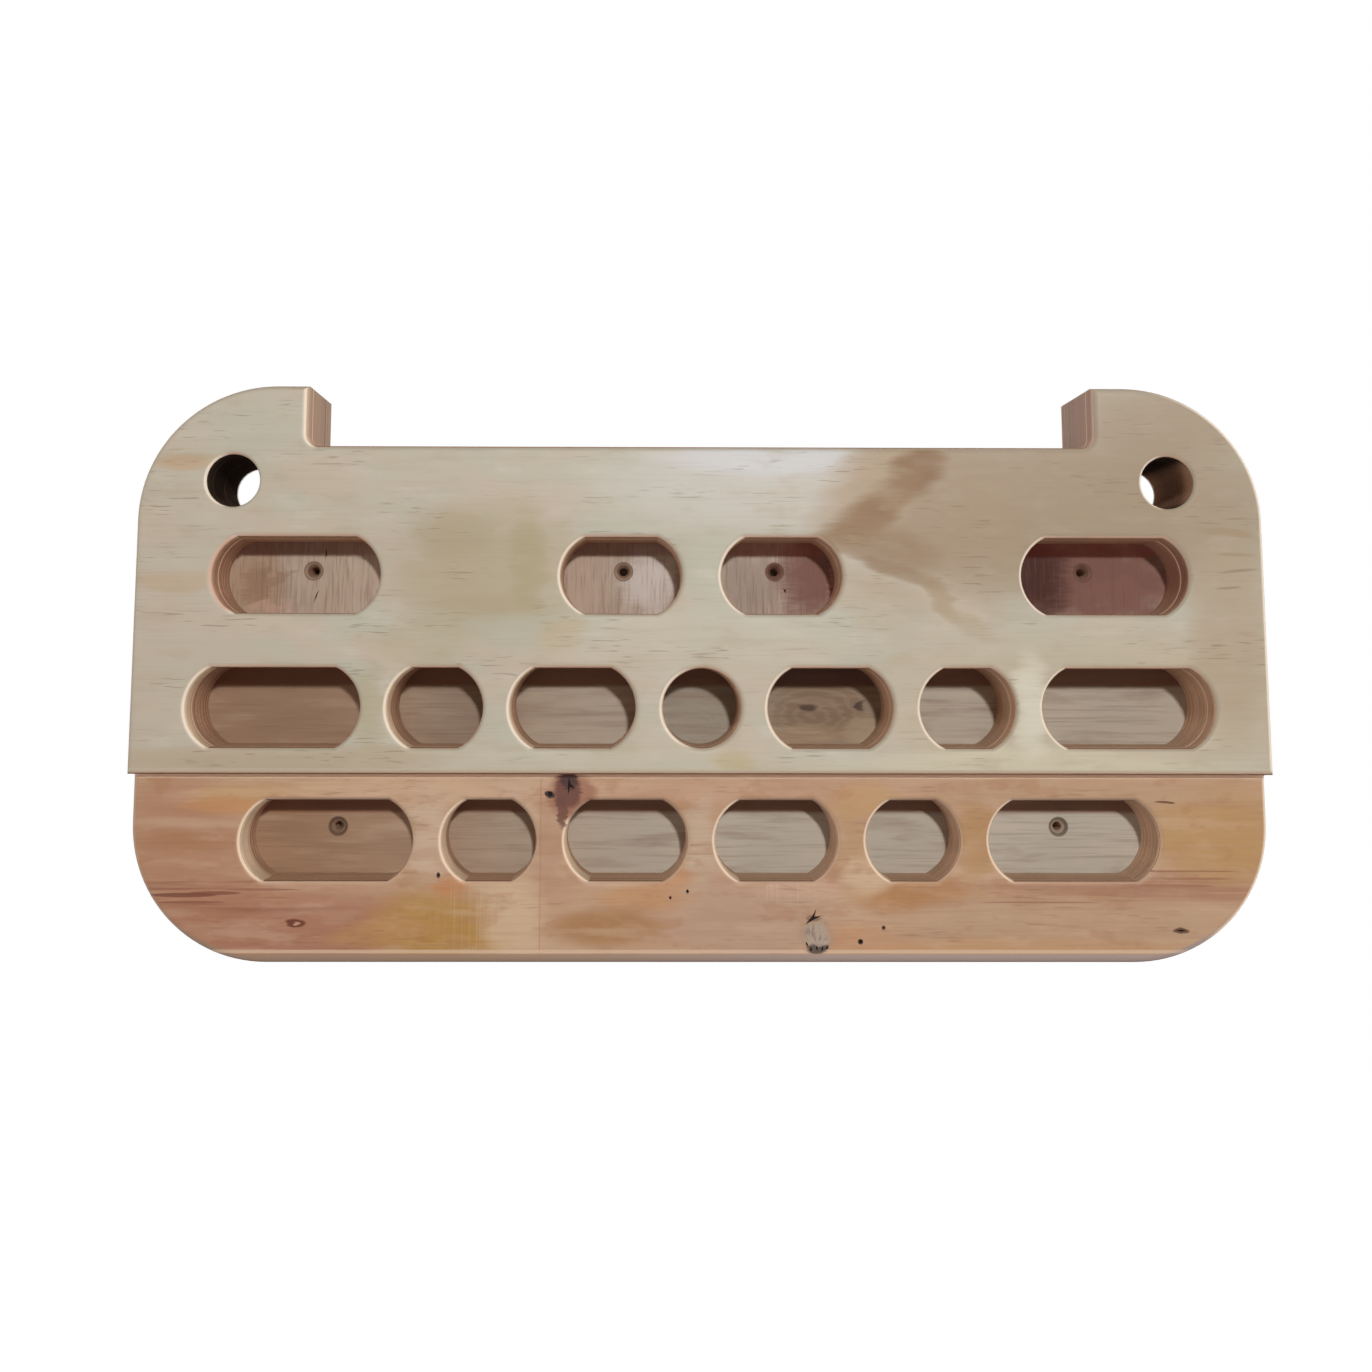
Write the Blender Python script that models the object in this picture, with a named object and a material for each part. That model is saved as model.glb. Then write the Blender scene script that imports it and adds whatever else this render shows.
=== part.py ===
"""Wooden hangboard for finger training, a block of three plywood boards with routed pockets.

The front board stops at a step, and the middle board shows below it as a lip. Both carry rows of
finger pockets. The back board closes the pockets and lies on the wall. Each board is a plywood
sheet: a face veneer, a core and a back veneer, with a thin glue line behind every layer.

Units are metres. X runs along the board, Y from the climber to the wall, and Z up. The wall is
the plane y = 0, x = 0 is the centre line, and z = 0 is half way up. Depths are measured from the
front face towards the wall.
"""
import math
from collections import namedtuple

import bmesh
import bpy
from mathutils import Matrix

MM = 0.001

# Outline
WIDTH = 580 * MM
HEIGHT = 294 * MM
TOP_CORNER_RADIUS = 70 * MM
BOTTOM_CORNER_RADIUS = 70 * MM
NOTCH_WIDTH = 407 * MM
NOTCH_DEPTH = 31.4 * MM
NOTCH_FILLET = 6 * MM
HORN_LEAST_FLAT = 8 * MM

# Boards, from the climber to the wall
FRONT_BOARD = 9 * MM
MIDDLE_BOARD = 24 * MM
BACK_BOARD = 15 * MM
VENEER = 1.5 * MM
GLUE_LINE = 0.3 * MM

# Rounded edges
FRONT_EDGE_ROUND = 4 * MM
LIP_EDGE_ROUND = 3.9 * MM
REAR_EDGE_ROUND = 3 * MM
POCKET_MOUTH_ROUND = 3 * MM
HANG_HOLE_MOUTH_ROUND = 2.3 * MM

# Rows of pockets: the top and lip rows keep clear of the board's edges, and the middle row is half
# way between them. The step runs a hair above the middle of the web over the lip row.
TOP_ROW_BELOW_TOP = 98.6 * MM
LIP_ROW_ABOVE_BOTTOM = 60.8 * MM
STEP_ABOVE_WEB_CENTRE = 0.15 * MM
POCKET_END_BULGE = 12.3 * MM
DEEP_POCKET_SKIM = 0.2 * MM

# Top row: shallow pockets that end inside the middle board, inner pair first
TOP_ROW_POCKET_HEIGHT = 39 * MM
TOP_ROW_CENTRE_RIB = 22.3 * MM
TOP_ROW_THREE_FINGER_WIDTH = 60 * MM
TOP_ROW_LAND = 94.3 * MM
TOP_ROW_SIDE_MARGIN = 40.75 * MM
TOP_ROW_FLOOR_WEB = 6.5 * MM

# Middle row: deep pockets with a one-finger hole in the middle
MIDDLE_ROW_POCKET_HEIGHT = 40 * MM
MONO_DIAMETER = 39.8 * MM
MIDDLE_ROW_RIB = 13.7 * MM
MIDDLE_ROW_THREE_FINGER_WIDTH = 63.8 * MM
MIDDLE_ROW_TWO_FINGER_WIDTH = 48.6 * MM
MIDDLE_ROW_SIDE_MARGIN = 28.6 * MM

# Lip row: deep pockets in the lip below the step
LIP_ROW_POCKET_HEIGHT = 40 * MM
LIP_ROW_CENTRE_RIB = 14.4 * MM
LIP_ROW_RIB = 15 * MM
LIP_ROW_THREE_FINGER_WIDTH = 62.1 * MM
LIP_ROW_TWO_FINGER_WIDTH = 47.8 * MM
LIP_ROW_SIDE_MARGIN = 55.8 * MM

# Holes through the board
HANG_HOLE_DIAMETER = 27 * MM
HANG_HOLE_FROM_SIDE = 48.9 * MM
HANG_HOLE_FROM_TOP = 49.9 * MM
SCREW_CLEARANCE_DIAMETER = 4.5 * MM
SCREW_HEAD_DIAMETER = 9.5 * MM
SCREW_ABOVE_ROW = 4 * MM
TOP_OUTER_SCREW_INSET = 1.9 * MM
TOP_INNER_SCREW_INSET = 0.8 * MM

# How finely curves are cut into facets
CORNER_SEGMENTS = 10
FILLET_SEGMENTS = 3
POCKET_END_SEGMENTS = 8
ROUND_HOLE_SEGMENTS = 24
SCREW_HOLE_SEGMENTS = 12
ROUNDOVER_SEGMENTS = 3

# Cutters run this far out of the wood, so that no two faces lie in one plane
OVERCUT = 5 * MM
MOUTH_OVERCUT = 0.1 * MM
SEAT_OVERCUT = 0.5 * MM

# Worked out from the sizes above
HALF_WIDTH = WIDTH / 2
TOP_Z = HEIGHT / 2
BOTTOM_Z = -HEIGHT / 2
TOP_CORNER = min(TOP_CORNER_RADIUS, HALF_WIDTH - NOTCH_WIDTH / 2 - HORN_LEAST_FLAT)
THICKNESS = FRONT_BOARD + MIDDLE_BOARD + BACK_BOARD
MIDDLE_BOARD_DEPTH = FRONT_BOARD
BACK_BOARD_DEPTH = FRONT_BOARD + MIDDLE_BOARD
TOP_ROW_FLOOR_DEPTH = BACK_BOARD_DEPTH - TOP_ROW_FLOOR_WEB
DEEP_FLOOR_DEPTH = BACK_BOARD_DEPTH + DEEP_POCKET_SKIM
TOP_ROW_Z = TOP_Z - TOP_ROW_BELOW_TOP
LIP_ROW_Z = BOTTOM_Z + LIP_ROW_ABOVE_BOTTOM
ROW_PITCH = (TOP_ROW_Z - LIP_ROW_Z) / 2
MIDDLE_ROW_Z = LIP_ROW_Z + ROW_PITCH
STEP_Z = LIP_ROW_Z + ROW_PITCH / 2 + STEP_ABOVE_WEB_CENTRE
TOP_ROW_FOUR_FINGER_WIDTH = (
    HALF_WIDTH - TOP_ROW_SIDE_MARGIN - TOP_ROW_CENTRE_RIB / 2
    - TOP_ROW_THREE_FINGER_WIDTH - TOP_ROW_LAND)
MIDDLE_ROW_FOUR_FINGER_WIDTH = (
    HALF_WIDTH - MIDDLE_ROW_SIDE_MARGIN - MONO_DIAMETER / 2 - 3 * MIDDLE_ROW_RIB
    - MIDDLE_ROW_THREE_FINGER_WIDTH - MIDDLE_ROW_TWO_FINGER_WIDTH)
LIP_ROW_FOUR_FINGER_WIDTH = (
    HALF_WIDTH - LIP_ROW_SIDE_MARGIN - LIP_ROW_CENTRE_RIB / 2 - 2 * LIP_ROW_RIB
    - LIP_ROW_THREE_FINGER_WIDTH - LIP_ROW_TWO_FINGER_WIDTH)
HANG_HOLE_X = HALF_WIDTH - HANG_HOLE_FROM_SIDE
HANG_HOLE_Z = TOP_Z - HANG_HOLE_FROM_TOP

Pocket = namedtuple("Pocket", "x z width height mouth_depth floor_depth")


def start_empty():
    """Remove what a new file holds and make one collection for the wood, one for the cutters."""
    for startup_object in list(bpy.data.objects):
        bpy.data.objects.remove(startup_object)
    collections = []
    for name in ("hangboard", "cutters"):
        collection = bpy.data.collections.new(name)
        bpy.context.scene.collection.children.link(collection)
        collections.append(collection)
    return collections


def wood(name, colour, roughness):
    """A plain wood finish for one layer."""
    material = bpy.data.materials.new(name)
    material.use_nodes = True
    shader = material.node_tree.nodes["Principled BSDF"]
    shader.inputs["Base Color"].default_value = (*colour, 1.0)
    shader.inputs["Roughness"].default_value = roughness
    shader.inputs["Metallic"].default_value = 0.0
    material.diffuse_color = (*colour, 1.0)
    return material


def arc(centre_x, centre_z, radius, start, sweep, segments):
    """Points on a circular arc from the angle start through sweep, in degrees."""
    points = []
    for step in range(segments + 1):
        angle = math.radians(start + sweep * step / segments)
        x = centre_x + radius * math.cos(angle)
        z = centre_z + radius * math.sin(angle)
        points.append((x, z))
    return points


def horned_top():
    """The upper outline, from the right edge over both horns and the notch to the left edge."""
    corner_x = HALF_WIDTH - TOP_CORNER
    corner_z = TOP_Z - TOP_CORNER
    horn_x = NOTCH_WIDTH / 2
    fillet_x = horn_x - NOTCH_FILLET
    fillet_z = TOP_Z - NOTCH_DEPTH + NOTCH_FILLET
    points = arc(corner_x, corner_z, TOP_CORNER, 0, 90, CORNER_SEGMENTS)
    points += [(horn_x, TOP_Z)]
    points += arc(fillet_x, fillet_z, NOTCH_FILLET, 0, -90, FILLET_SEGMENTS)
    points += arc(-fillet_x, fillet_z, NOTCH_FILLET, 270, -90, FILLET_SEGMENTS)
    points += [(-horn_x, TOP_Z)]
    points += arc(-corner_x, corner_z, TOP_CORNER, 90, 90, CORNER_SEGMENTS)
    return points


def front_outline():
    """The front board ends square at the step."""
    return horned_top() + [(-HALF_WIDTH, STEP_Z), (HALF_WIDTH, STEP_Z)]


def full_outline():
    """The middle and back boards run on to the rounded bottom corners."""
    corner_x = HALF_WIDTH - BOTTOM_CORNER_RADIUS
    corner_z = BOTTOM_Z + BOTTOM_CORNER_RADIUS
    points = horned_top() + [(-HALF_WIDTH, STEP_Z)]
    points += arc(-corner_x, corner_z, BOTTOM_CORNER_RADIUS, 180, 90, CORNER_SEGMENTS)
    points += arc(corner_x, corner_z, BOTTOM_CORNER_RADIUS, 270, 90, CORNER_SEGMENTS)
    points += [(HALF_WIDTH, STEP_Z)]
    return points


def sawn_board(outline, near_depth, far_depth):
    """Saw a flat board from its outline: a filled 2D curve, extruded, turned upright and meshed."""
    curve = bpy.data.curves.new("outline", "CURVE")
    curve.dimensions = "2D"
    curve.fill_mode = "BOTH"
    curve.extrude = (far_depth - near_depth) / 2
    spline = curve.splines.new("POLY")
    spline.points.add(len(outline) - 1)
    for point, (x, z) in zip(spline.points, outline):
        point.co = (x, z, 0.0, 1.0)
    spline.use_cyclic_u = True
    stencil = bpy.data.objects.new("outline", curve)
    bpy.context.scene.collection.objects.link(stencil)
    middle_y = (near_depth + far_depth) / 2 - THICKNESS
    stencil.matrix_world = Matrix.Translation((0, middle_y, 0)) @ Matrix.Rotation(math.pi / 2, 4, "X")
    bpy.context.view_layer.update()
    evaluated = stencil.evaluated_get(bpy.context.evaluated_depsgraph_get())
    mesh = bpy.data.meshes.new_from_object(evaluated)
    mesh.transform(stencil.matrix_world)
    bpy.data.objects.remove(stencil)
    return mesh


def round_edges(mesh, facing, radius, below_z=None):
    """Weld the board, make each flat side one polygon, and round the rim that looks along facing * Y.

    With below_z, the polygon is first split at that height, and only the rim under it is rounded.
    """
    tiny = GLUE_LINE / 100
    board = bmesh.new()
    board.from_mesh(mesh)
    bmesh.ops.remove_doubles(board, verts=board.verts, dist=tiny)
    bmesh.ops.recalc_face_normals(board, faces=board.faces)
    flat_sides = [face for face in board.faces if abs(face.normal.y) > 0.5]
    bmesh.ops.dissolve_faces(board, faces=flat_sides, use_verts=False)
    board.normal_update()
    turned = [face for face in board.faces if face.normal.y * facing > 0.5]
    rim = {edge for face in turned for edge in face.edges}
    if below_z is not None:
        ends = [v for face in turned for v in face.verts if abs(v.co.z - below_z) < tiny]
        bmesh.ops.connect_verts(board, verts=ends)
        rim = {edge for edge in rim if max(v.co.z for v in edge.verts) < below_z + tiny}
    bmesh.ops.bevel(
        board, geom=list(rim), offset=radius, offset_type="OFFSET", segments=ROUNDOVER_SEGMENTS,
        profile=0.5, affect="EDGES", clamp_overlap=False)
    board.to_mesh(mesh)
    board.free()


def circle_ring(x, z, radius, depth, segments):
    """One ring of a round cutter."""
    ring = arc(x, z, radius, 0, 360, segments)[:-1]
    return [(px, depth - THICKNESS, pz) for px, pz in ring]


def pocket_ring(pocket, widening, depth):
    """One ring of a pocket cutter: flat above and below, a shallow circular arc at each end."""
    half_height = pocket.height / 2
    radius = (half_height ** 2 + POCKET_END_BULGE ** 2) / (2 * POCKET_END_BULGE)
    centre = pocket.width / 2 - radius
    half_angle = math.degrees(math.asin((half_height + widening) / (radius + widening)))
    right = arc(pocket.x + centre, pocket.z, radius + widening, -half_angle, 2 * half_angle,
                POCKET_END_SEGMENTS)
    left = arc(pocket.x - centre, pocket.z, radius + widening, 180 - half_angle, 2 * half_angle,
               POCKET_END_SEGMENTS)
    return [(x, depth - THICKNESS, z) for x, z in right + left]


def rounded_mouth(mouth_depth, end_depth, radius):
    """Depth and widening of each ring of a cutter whose mouth is rounded over."""
    steps = []
    for step in range(ROUNDOVER_SEGMENTS, -1, -1):
        angle = math.radians(90 * step / ROUNDOVER_SEGMENTS)
        steps.append((mouth_depth + radius * (1 - math.sin(angle)), radius * (1 - math.cos(angle))))
    (first_depth, first_widening), (next_depth, next_widening) = steps[:2]
    slope = (first_widening - next_widening) / (next_depth - first_depth)
    flared = first_widening + slope * MOUTH_OVERCUT
    outside = [(mouth_depth - OVERCUT, flared), (mouth_depth - MOUTH_OVERCUT, flared)]
    return outside + steps[1:] + [(end_depth, 0.0)]


def add_loft(body, rings):
    """Join rings with equal numbers of points into one closed form."""
    loops = [[body.verts.new(point) for point in ring] for ring in rings]
    for near, far in zip(loops, loops[1:]):
        for index, vertex in enumerate(near):
            following = (index + 1) % len(near)
            body.faces.new((vertex, near[following], far[following], far[index]))
    body.faces.new(loops[0])
    body.faces.new(loops[-1])


def finished_cutter(name, body, collection):
    """Turn a bmesh into a cutter that only the Boolean modifiers use."""
    bmesh.ops.recalc_face_normals(body, faces=body.faces)
    mesh = bpy.data.meshes.new(name)
    body.to_mesh(mesh)
    body.free()
    cutter = bpy.data.objects.new(name, mesh)
    cutter.display_type = "WIRE"
    cutter.hide_render = True
    collection.objects.link(cutter)
    return cutter


def row_of_pockets(row_z, height, first_edge, widths, ribs, mouth_depth, floor_depth):
    """Mirror-image pockets from the centre line outwards; first_edge is the first inner edge."""
    pockets = []
    edge = first_edge
    for width, rib in zip(widths, ribs + (0.0,)):
        for side in (-1, 1):
            x = side * (edge + width / 2)
            pockets.append(Pocket(x, row_z, width, height, mouth_depth, floor_depth))
        edge += width + rib
    return pockets


def all_pockets():
    """The top, middle and lip rows. The deep ones just skim the back board's face."""
    top = row_of_pockets(
        TOP_ROW_Z, TOP_ROW_POCKET_HEIGHT, TOP_ROW_CENTRE_RIB / 2,
        (TOP_ROW_THREE_FINGER_WIDTH, TOP_ROW_FOUR_FINGER_WIDTH), (TOP_ROW_LAND,),
        0.0, TOP_ROW_FLOOR_DEPTH)
    middle = row_of_pockets(
        MIDDLE_ROW_Z, MIDDLE_ROW_POCKET_HEIGHT, MONO_DIAMETER / 2 + MIDDLE_ROW_RIB,
        (MIDDLE_ROW_THREE_FINGER_WIDTH, MIDDLE_ROW_TWO_FINGER_WIDTH, MIDDLE_ROW_FOUR_FINGER_WIDTH),
        (MIDDLE_ROW_RIB, MIDDLE_ROW_RIB), 0.0, DEEP_FLOOR_DEPTH)
    lip = row_of_pockets(
        LIP_ROW_Z, LIP_ROW_POCKET_HEIGHT, LIP_ROW_CENTRE_RIB / 2,
        (LIP_ROW_THREE_FINGER_WIDTH, LIP_ROW_TWO_FINGER_WIDTH, LIP_ROW_FOUR_FINGER_WIDTH),
        (LIP_ROW_RIB, LIP_ROW_RIB), MIDDLE_BOARD_DEPTH, DEEP_FLOOR_DEPTH)
    return top, middle, lip


def pocket_cutter(collection):
    """Every pocket, the one-finger hole and the two hang holes, as one router would cut them."""
    body = bmesh.new()
    for row in all_pockets():
        for pocket in row:
            profile = rounded_mouth(pocket.mouth_depth, pocket.floor_depth, POCKET_MOUTH_ROUND)
            add_loft(body, [pocket_ring(pocket, widening, depth) for depth, widening in profile])
    mono = rounded_mouth(0.0, DEEP_FLOOR_DEPTH, POCKET_MOUTH_ROUND)
    add_loft(body, [
        circle_ring(0, MIDDLE_ROW_Z, MONO_DIAMETER / 2 + widening, depth, ROUND_HOLE_SEGMENTS)
        for depth, widening in mono])
    through = rounded_mouth(0.0, THICKNESS + OVERCUT, HANG_HOLE_MOUTH_ROUND)
    for side in (-1, 1):
        add_loft(body, [
            circle_ring(side * HANG_HOLE_X, HANG_HOLE_Z, HANG_HOLE_DIAMETER / 2 + widening, depth,
                        ROUND_HOLE_SEGMENTS)
            for depth, widening in through])
    return finished_cutter("pocket_cutter", body, collection)


def screw_places():
    """Centre and seat depth of each screw hole: every top-row pocket, the outer pair of the lip."""
    top, _, lip = all_pockets()
    insets = (TOP_INNER_SCREW_INSET, TOP_INNER_SCREW_INSET, TOP_OUTER_SCREW_INSET, TOP_OUTER_SCREW_INSET)
    places = []
    for pocket, inset in zip(top, insets):
        x = pocket.x - math.copysign(inset, pocket.x)
        places.append((x, TOP_ROW_Z + SCREW_ABOVE_ROW, TOP_ROW_FLOOR_DEPTH))
    for pocket in lip[-2:]:
        places.append((pocket.x, LIP_ROW_Z + SCREW_ABOVE_ROW, DEEP_FLOOR_DEPTH))
    return places


def screw_cutter(collection):
    """Clearance holes with a countersink of ninety degrees at the pocket floor."""
    body = bmesh.new()
    head_radius = SCREW_HEAD_DIAMETER / 2
    shank_radius = SCREW_CLEARANCE_DIAMETER / 2
    sink = head_radius - shank_radius
    for x, z, seat in screw_places():
        stages = (
            (seat - SEAT_OVERCUT, head_radius + SEAT_OVERCUT),
            (seat + sink, shank_radius),
            (THICKNESS + OVERCUT, shank_radius),
        )
        add_loft(body, [circle_ring(x, z, radius, depth, SCREW_HOLE_SEGMENTS) for depth, radius in stages])
    return finished_cutter("screw_cutter", body, collection)


def slab_cutter(name, near_depth, far_depth, collection):
    """A box that keeps only one layer of a board when it is intersected with it."""
    body = bmesh.new()
    bmesh.ops.create_cube(body, size=1.0)
    reach = 2 * OVERCUT
    size = (WIDTH + reach, far_depth - near_depth, HEIGHT + reach)
    middle = (0.0, (near_depth + far_depth) / 2 - THICKNESS, 0.0)
    bmesh.ops.transform(body, matrix=Matrix.LocRotScale(middle, None, size), verts=body.verts)
    return finished_cutter(name, body, collection)


def cut(piece, cutter, operation):
    """Cut one piece with one cutter."""
    boolean = piece.modifiers.new(cutter.name, "BOOLEAN")
    boolean.operation = operation
    boolean.object = cutter
    boolean.solver = "EXACT"


def plywood_board(name, blank, near_depth, far_depth, materials, drills, collections):
    """Split one board into its face veneer, core and back veneer, and drill all three."""
    wood_collection, cutter_collection = collections
    face_material, core_material, back_material = materials
    layers = (
        ("face_veneer", near_depth - OVERCUT, near_depth + VENEER - GLUE_LINE, face_material),
        ("core", near_depth + VENEER, far_depth - VENEER - GLUE_LINE, core_material),
        ("back_veneer", far_depth - VENEER, far_depth + OVERCUT, back_material),
    )
    for layer, layer_near, layer_far, material in layers:
        piece = bpy.data.objects.new(f"{name}_{layer}", blank.copy())
        piece.data.materials.append(material)
        wood_collection.objects.link(piece)
        slab = slab_cutter(f"{name}_{layer}_slab", layer_near, layer_far, cutter_collection)
        cut(piece, slab, "INTERSECT")
        for drill in drills:
            cut(piece, drill, "DIFFERENCE")
    bpy.data.meshes.remove(blank)


def build():
    """Make the three boards, front to back."""
    collections = start_empty()
    pockets = pocket_cutter(collections[1])
    screws = screw_cutter(collections[1])
    pale = wood("pale_pine", (0.62, 0.52, 0.37), 0.55)
    ruddy = wood("ruddy_pine", (0.46, 0.27, 0.16), 0.5)
    edge = wood("ply_edge", (0.40, 0.25, 0.16), 0.7)
    floor = wood("pocket_floor_pine", (0.34, 0.26, 0.17), 0.6)

    front = sawn_board(front_outline(), 0.0, MIDDLE_BOARD_DEPTH - GLUE_LINE)
    round_edges(front, -1, FRONT_EDGE_ROUND)
    plywood_board("front_board", front, 0.0, MIDDLE_BOARD_DEPTH, (pale, edge, pale),
                  (pockets,), collections)

    middle = sawn_board(full_outline(), MIDDLE_BOARD_DEPTH, BACK_BOARD_DEPTH - GLUE_LINE)
    round_edges(middle, -1, LIP_EDGE_ROUND, STEP_Z)
    plywood_board("middle_board", middle, MIDDLE_BOARD_DEPTH, BACK_BOARD_DEPTH, (ruddy, edge, ruddy),
                  (pockets, screws), collections)

    back = sawn_board(full_outline(), BACK_BOARD_DEPTH, THICKNESS)
    round_edges(back, 1, REAR_EDGE_ROUND)
    plywood_board("back_board", back, BACK_BOARD_DEPTH, THICKNESS, (floor, edge, pale),
                  (pockets, screws), collections)


build()
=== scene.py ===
# %% [markdown]
# # A plywood hangboard
# The object is a finger-training board for climbers: three sheets of pine plywood, glued face to
# face, with rows of finger pockets routed into them. Nothing on it moves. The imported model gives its
# size and place, and this lesson rebuilds it layer by layer, because the layers are what the eye
# sees: pale veneer in front, a ruddy lip below, and striped ply edges inside every pocket.

# %% Load the frame
import math

import bmesh
import bpy
from mathutils import Matrix


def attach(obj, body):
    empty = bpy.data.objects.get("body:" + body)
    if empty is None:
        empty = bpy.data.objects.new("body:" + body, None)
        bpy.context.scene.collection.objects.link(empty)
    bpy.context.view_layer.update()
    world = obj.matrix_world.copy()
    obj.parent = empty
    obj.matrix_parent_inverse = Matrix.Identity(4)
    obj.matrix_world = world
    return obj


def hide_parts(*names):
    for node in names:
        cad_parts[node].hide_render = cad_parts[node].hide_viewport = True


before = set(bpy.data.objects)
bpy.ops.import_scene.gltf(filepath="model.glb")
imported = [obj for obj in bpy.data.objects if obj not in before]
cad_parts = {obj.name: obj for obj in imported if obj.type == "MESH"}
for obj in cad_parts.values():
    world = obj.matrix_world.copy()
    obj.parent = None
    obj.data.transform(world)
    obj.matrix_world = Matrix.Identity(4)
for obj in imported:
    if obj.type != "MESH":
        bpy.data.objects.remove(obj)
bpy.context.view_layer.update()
print("frame nodes:", len(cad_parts))

# %% [markdown]
# ## The camera
# The photograph was taken from 0.65 m in front, a little left of the middle, looking slightly up.
# A camera can be aimed by angles, but its three axes say the same without a turning order: right, up
# and backwards are the columns of its matrix. The small shift is there because the photograph's
# optical centre isn't the middle of its frame.

# %% Place the camera
camera_data = bpy.data.cameras.new("photo_camera")
camera_data.sensor_width = 36.0
camera_data.lens = 30.87
camera_data.shift_x = 0.0264
camera_data.shift_y = -0.0950
camera_data.clip_start = 0.01
camera = bpy.data.objects.new("photo_camera", camera_data)
bpy.context.scene.collection.objects.link(camera)

tilt, yaw, roll = math.radians(5.30), math.radians(0.37), math.radians(-0.10)
level_right = (math.cos(yaw), -math.sin(yaw), 0.0)
forward = (math.sin(yaw) * math.cos(tilt), math.cos(yaw) * math.cos(tilt), math.sin(tilt))
level_up = (-math.sin(tilt) * math.sin(yaw), -math.sin(tilt) * math.cos(yaw), math.cos(tilt))
right = [math.cos(roll) * r - math.sin(roll) * u for r, u in zip(level_right, level_up)]
up = [math.sin(roll) * r + math.cos(roll) * u for r, u in zip(level_right, level_up)]
camera_place = (-0.0304, -0.648, 0.0029)
camera.matrix_world = Matrix([
    (right[row], up[row], -forward[row], camera_place[row]) for row in range(3)] + [(0, 0, 0, 1)])
bpy.context.scene.camera = camera
print("camera at", camera_place)

# %% [markdown]
# ## Sizes
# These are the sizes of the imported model, in metres. Depths run from the front face to the wall, so
# the front face is depth 0 and the wall is depth 0.048. Curves are drawn as short straight pieces,
# and the numbers of those are here too.

# %% Name the sizes
MM = 0.001
HALF_WIDTH = 290 * MM
TOP_Z = 147 * MM
BOTTOM_Z = -147 * MM
STEP_Z = -52.4 * MM
TOP_CORNER = 70 * MM
BOTTOM_CORNER = 70 * MM
HORN_X = 203.5 * MM
NOTCH_DEPTH = 31.4 * MM
NOTCH_FILLET = 6 * MM
THICKNESS = 48 * MM
MIDDLE_BOARD = 9 * MM
SHALLOW_FLOOR = 26.5 * MM
BACK_BOARD = 33 * MM
DEEP_FLOOR = 33.2 * MM
VENEER = 1.5 * MM
PLY_PITCH, FLOOR_PITCH, BACK_PITCH = 2 * MM, 1.7 * MM, 2.4 * MM
GLUE = 0.16 * MM
GROOVE = 0.06 * MM
print("board", 2 * HALF_WIDTH, THICKNESS, TOP_Z - BOTTOM_Z)

# %% Name the roundovers, pockets and screws
FRONT_ROUND = 4 * MM
LIP_ROUND = 3.9 * MM
LIP_RUN_OUT = 1.5 * MM
REAR_ROUND = 3 * MM
MOUTH_ROUND = 3 * MM
HANG_HOLE_ROUND = 2.3 * MM

TOP_ROW_Z, MIDDLE_ROW_Z, LIP_ROW_Z = 48.4 * MM, -18.9 * MM, -86.2 * MM
TOP_POCKET_HEIGHT = 39 * MM
POCKET_HEIGHT = 40 * MM
POCKET_BULGE = 12.3 * MM
ONE_FINGER_RADIUS = 19.9 * MM
HANG_HOLE_X, HANG_HOLE_Z, HANG_HOLE_RADIUS = 241.1 * MM, 97.1 * MM, 13.5 * MM

SCREW_RADIUS, COUNTERSINK_RADIUS = 2.25 * MM, 4.75 * MM
SCREW_RISE = 4 * MM
TOP_SCREW_XS = (40.35 * MM, 205.45 * MM)
LIP_SCREW_X = 190.65 * MM

CORNER_SEGMENTS, FILLET_SEGMENTS, POCKET_END_SEGMENTS = 28, 8, 22
ONE_FINGER_SEGMENTS, HANG_HOLE_SEGMENTS, SCREW_SEGMENTS, PIN_HOLE_SEGMENTS = 72, 56, 28, 10
ROUNDOVER_STEPS = 8
print("rows at", TOP_ROW_Z, MIDDLE_ROW_Z, LIP_ROW_Z)

# %% [markdown]
# ## Contours
# Every layer is cut along the same few lines: the outline, the pockets, the hang holes and the
# screws. A contour here is a function that gives its points for a given inset, the distance by
# which a rounded edge has eaten into the wood. It always gives the same number of points, so two
# rings of one contour can be joined by plain quads, and a rounded edge needs no bevel.

# %% Draw arcs, circles and the horned outline
def arc(centre_x, centre_z, radius, start, sweep, segments):
    """Points on a circular arc, with its angles in degrees."""
    angles = [math.radians(start + sweep * step / segments) for step in range(segments + 1)]
    return [(centre_x + radius * math.cos(a), centre_z + radius * math.sin(a)) for a in angles]


def horns(inset):
    """The upper outline from the right side over both horns and the notch to the left side."""
    fillet_x = HORN_X - NOTCH_FILLET
    fillet_z = TOP_Z - NOTCH_DEPTH + NOTCH_FILLET
    points = arc(HALF_WIDTH - TOP_CORNER, TOP_Z - TOP_CORNER, TOP_CORNER - inset, 0, 90, CORNER_SEGMENTS)
    points += [(HORN_X + inset, TOP_Z - inset)]
    points += arc(fillet_x, fillet_z, NOTCH_FILLET + inset, 0, -90, FILLET_SEGMENTS)
    return points + [(-x, z) for x, z in reversed(points)]


def front_outline(inset):
    """The front board is cut square at the step."""
    side = HALF_WIDTH - inset
    return horns(inset) + [(-side, STEP_Z + inset), (side, STEP_Z + inset)]


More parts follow.
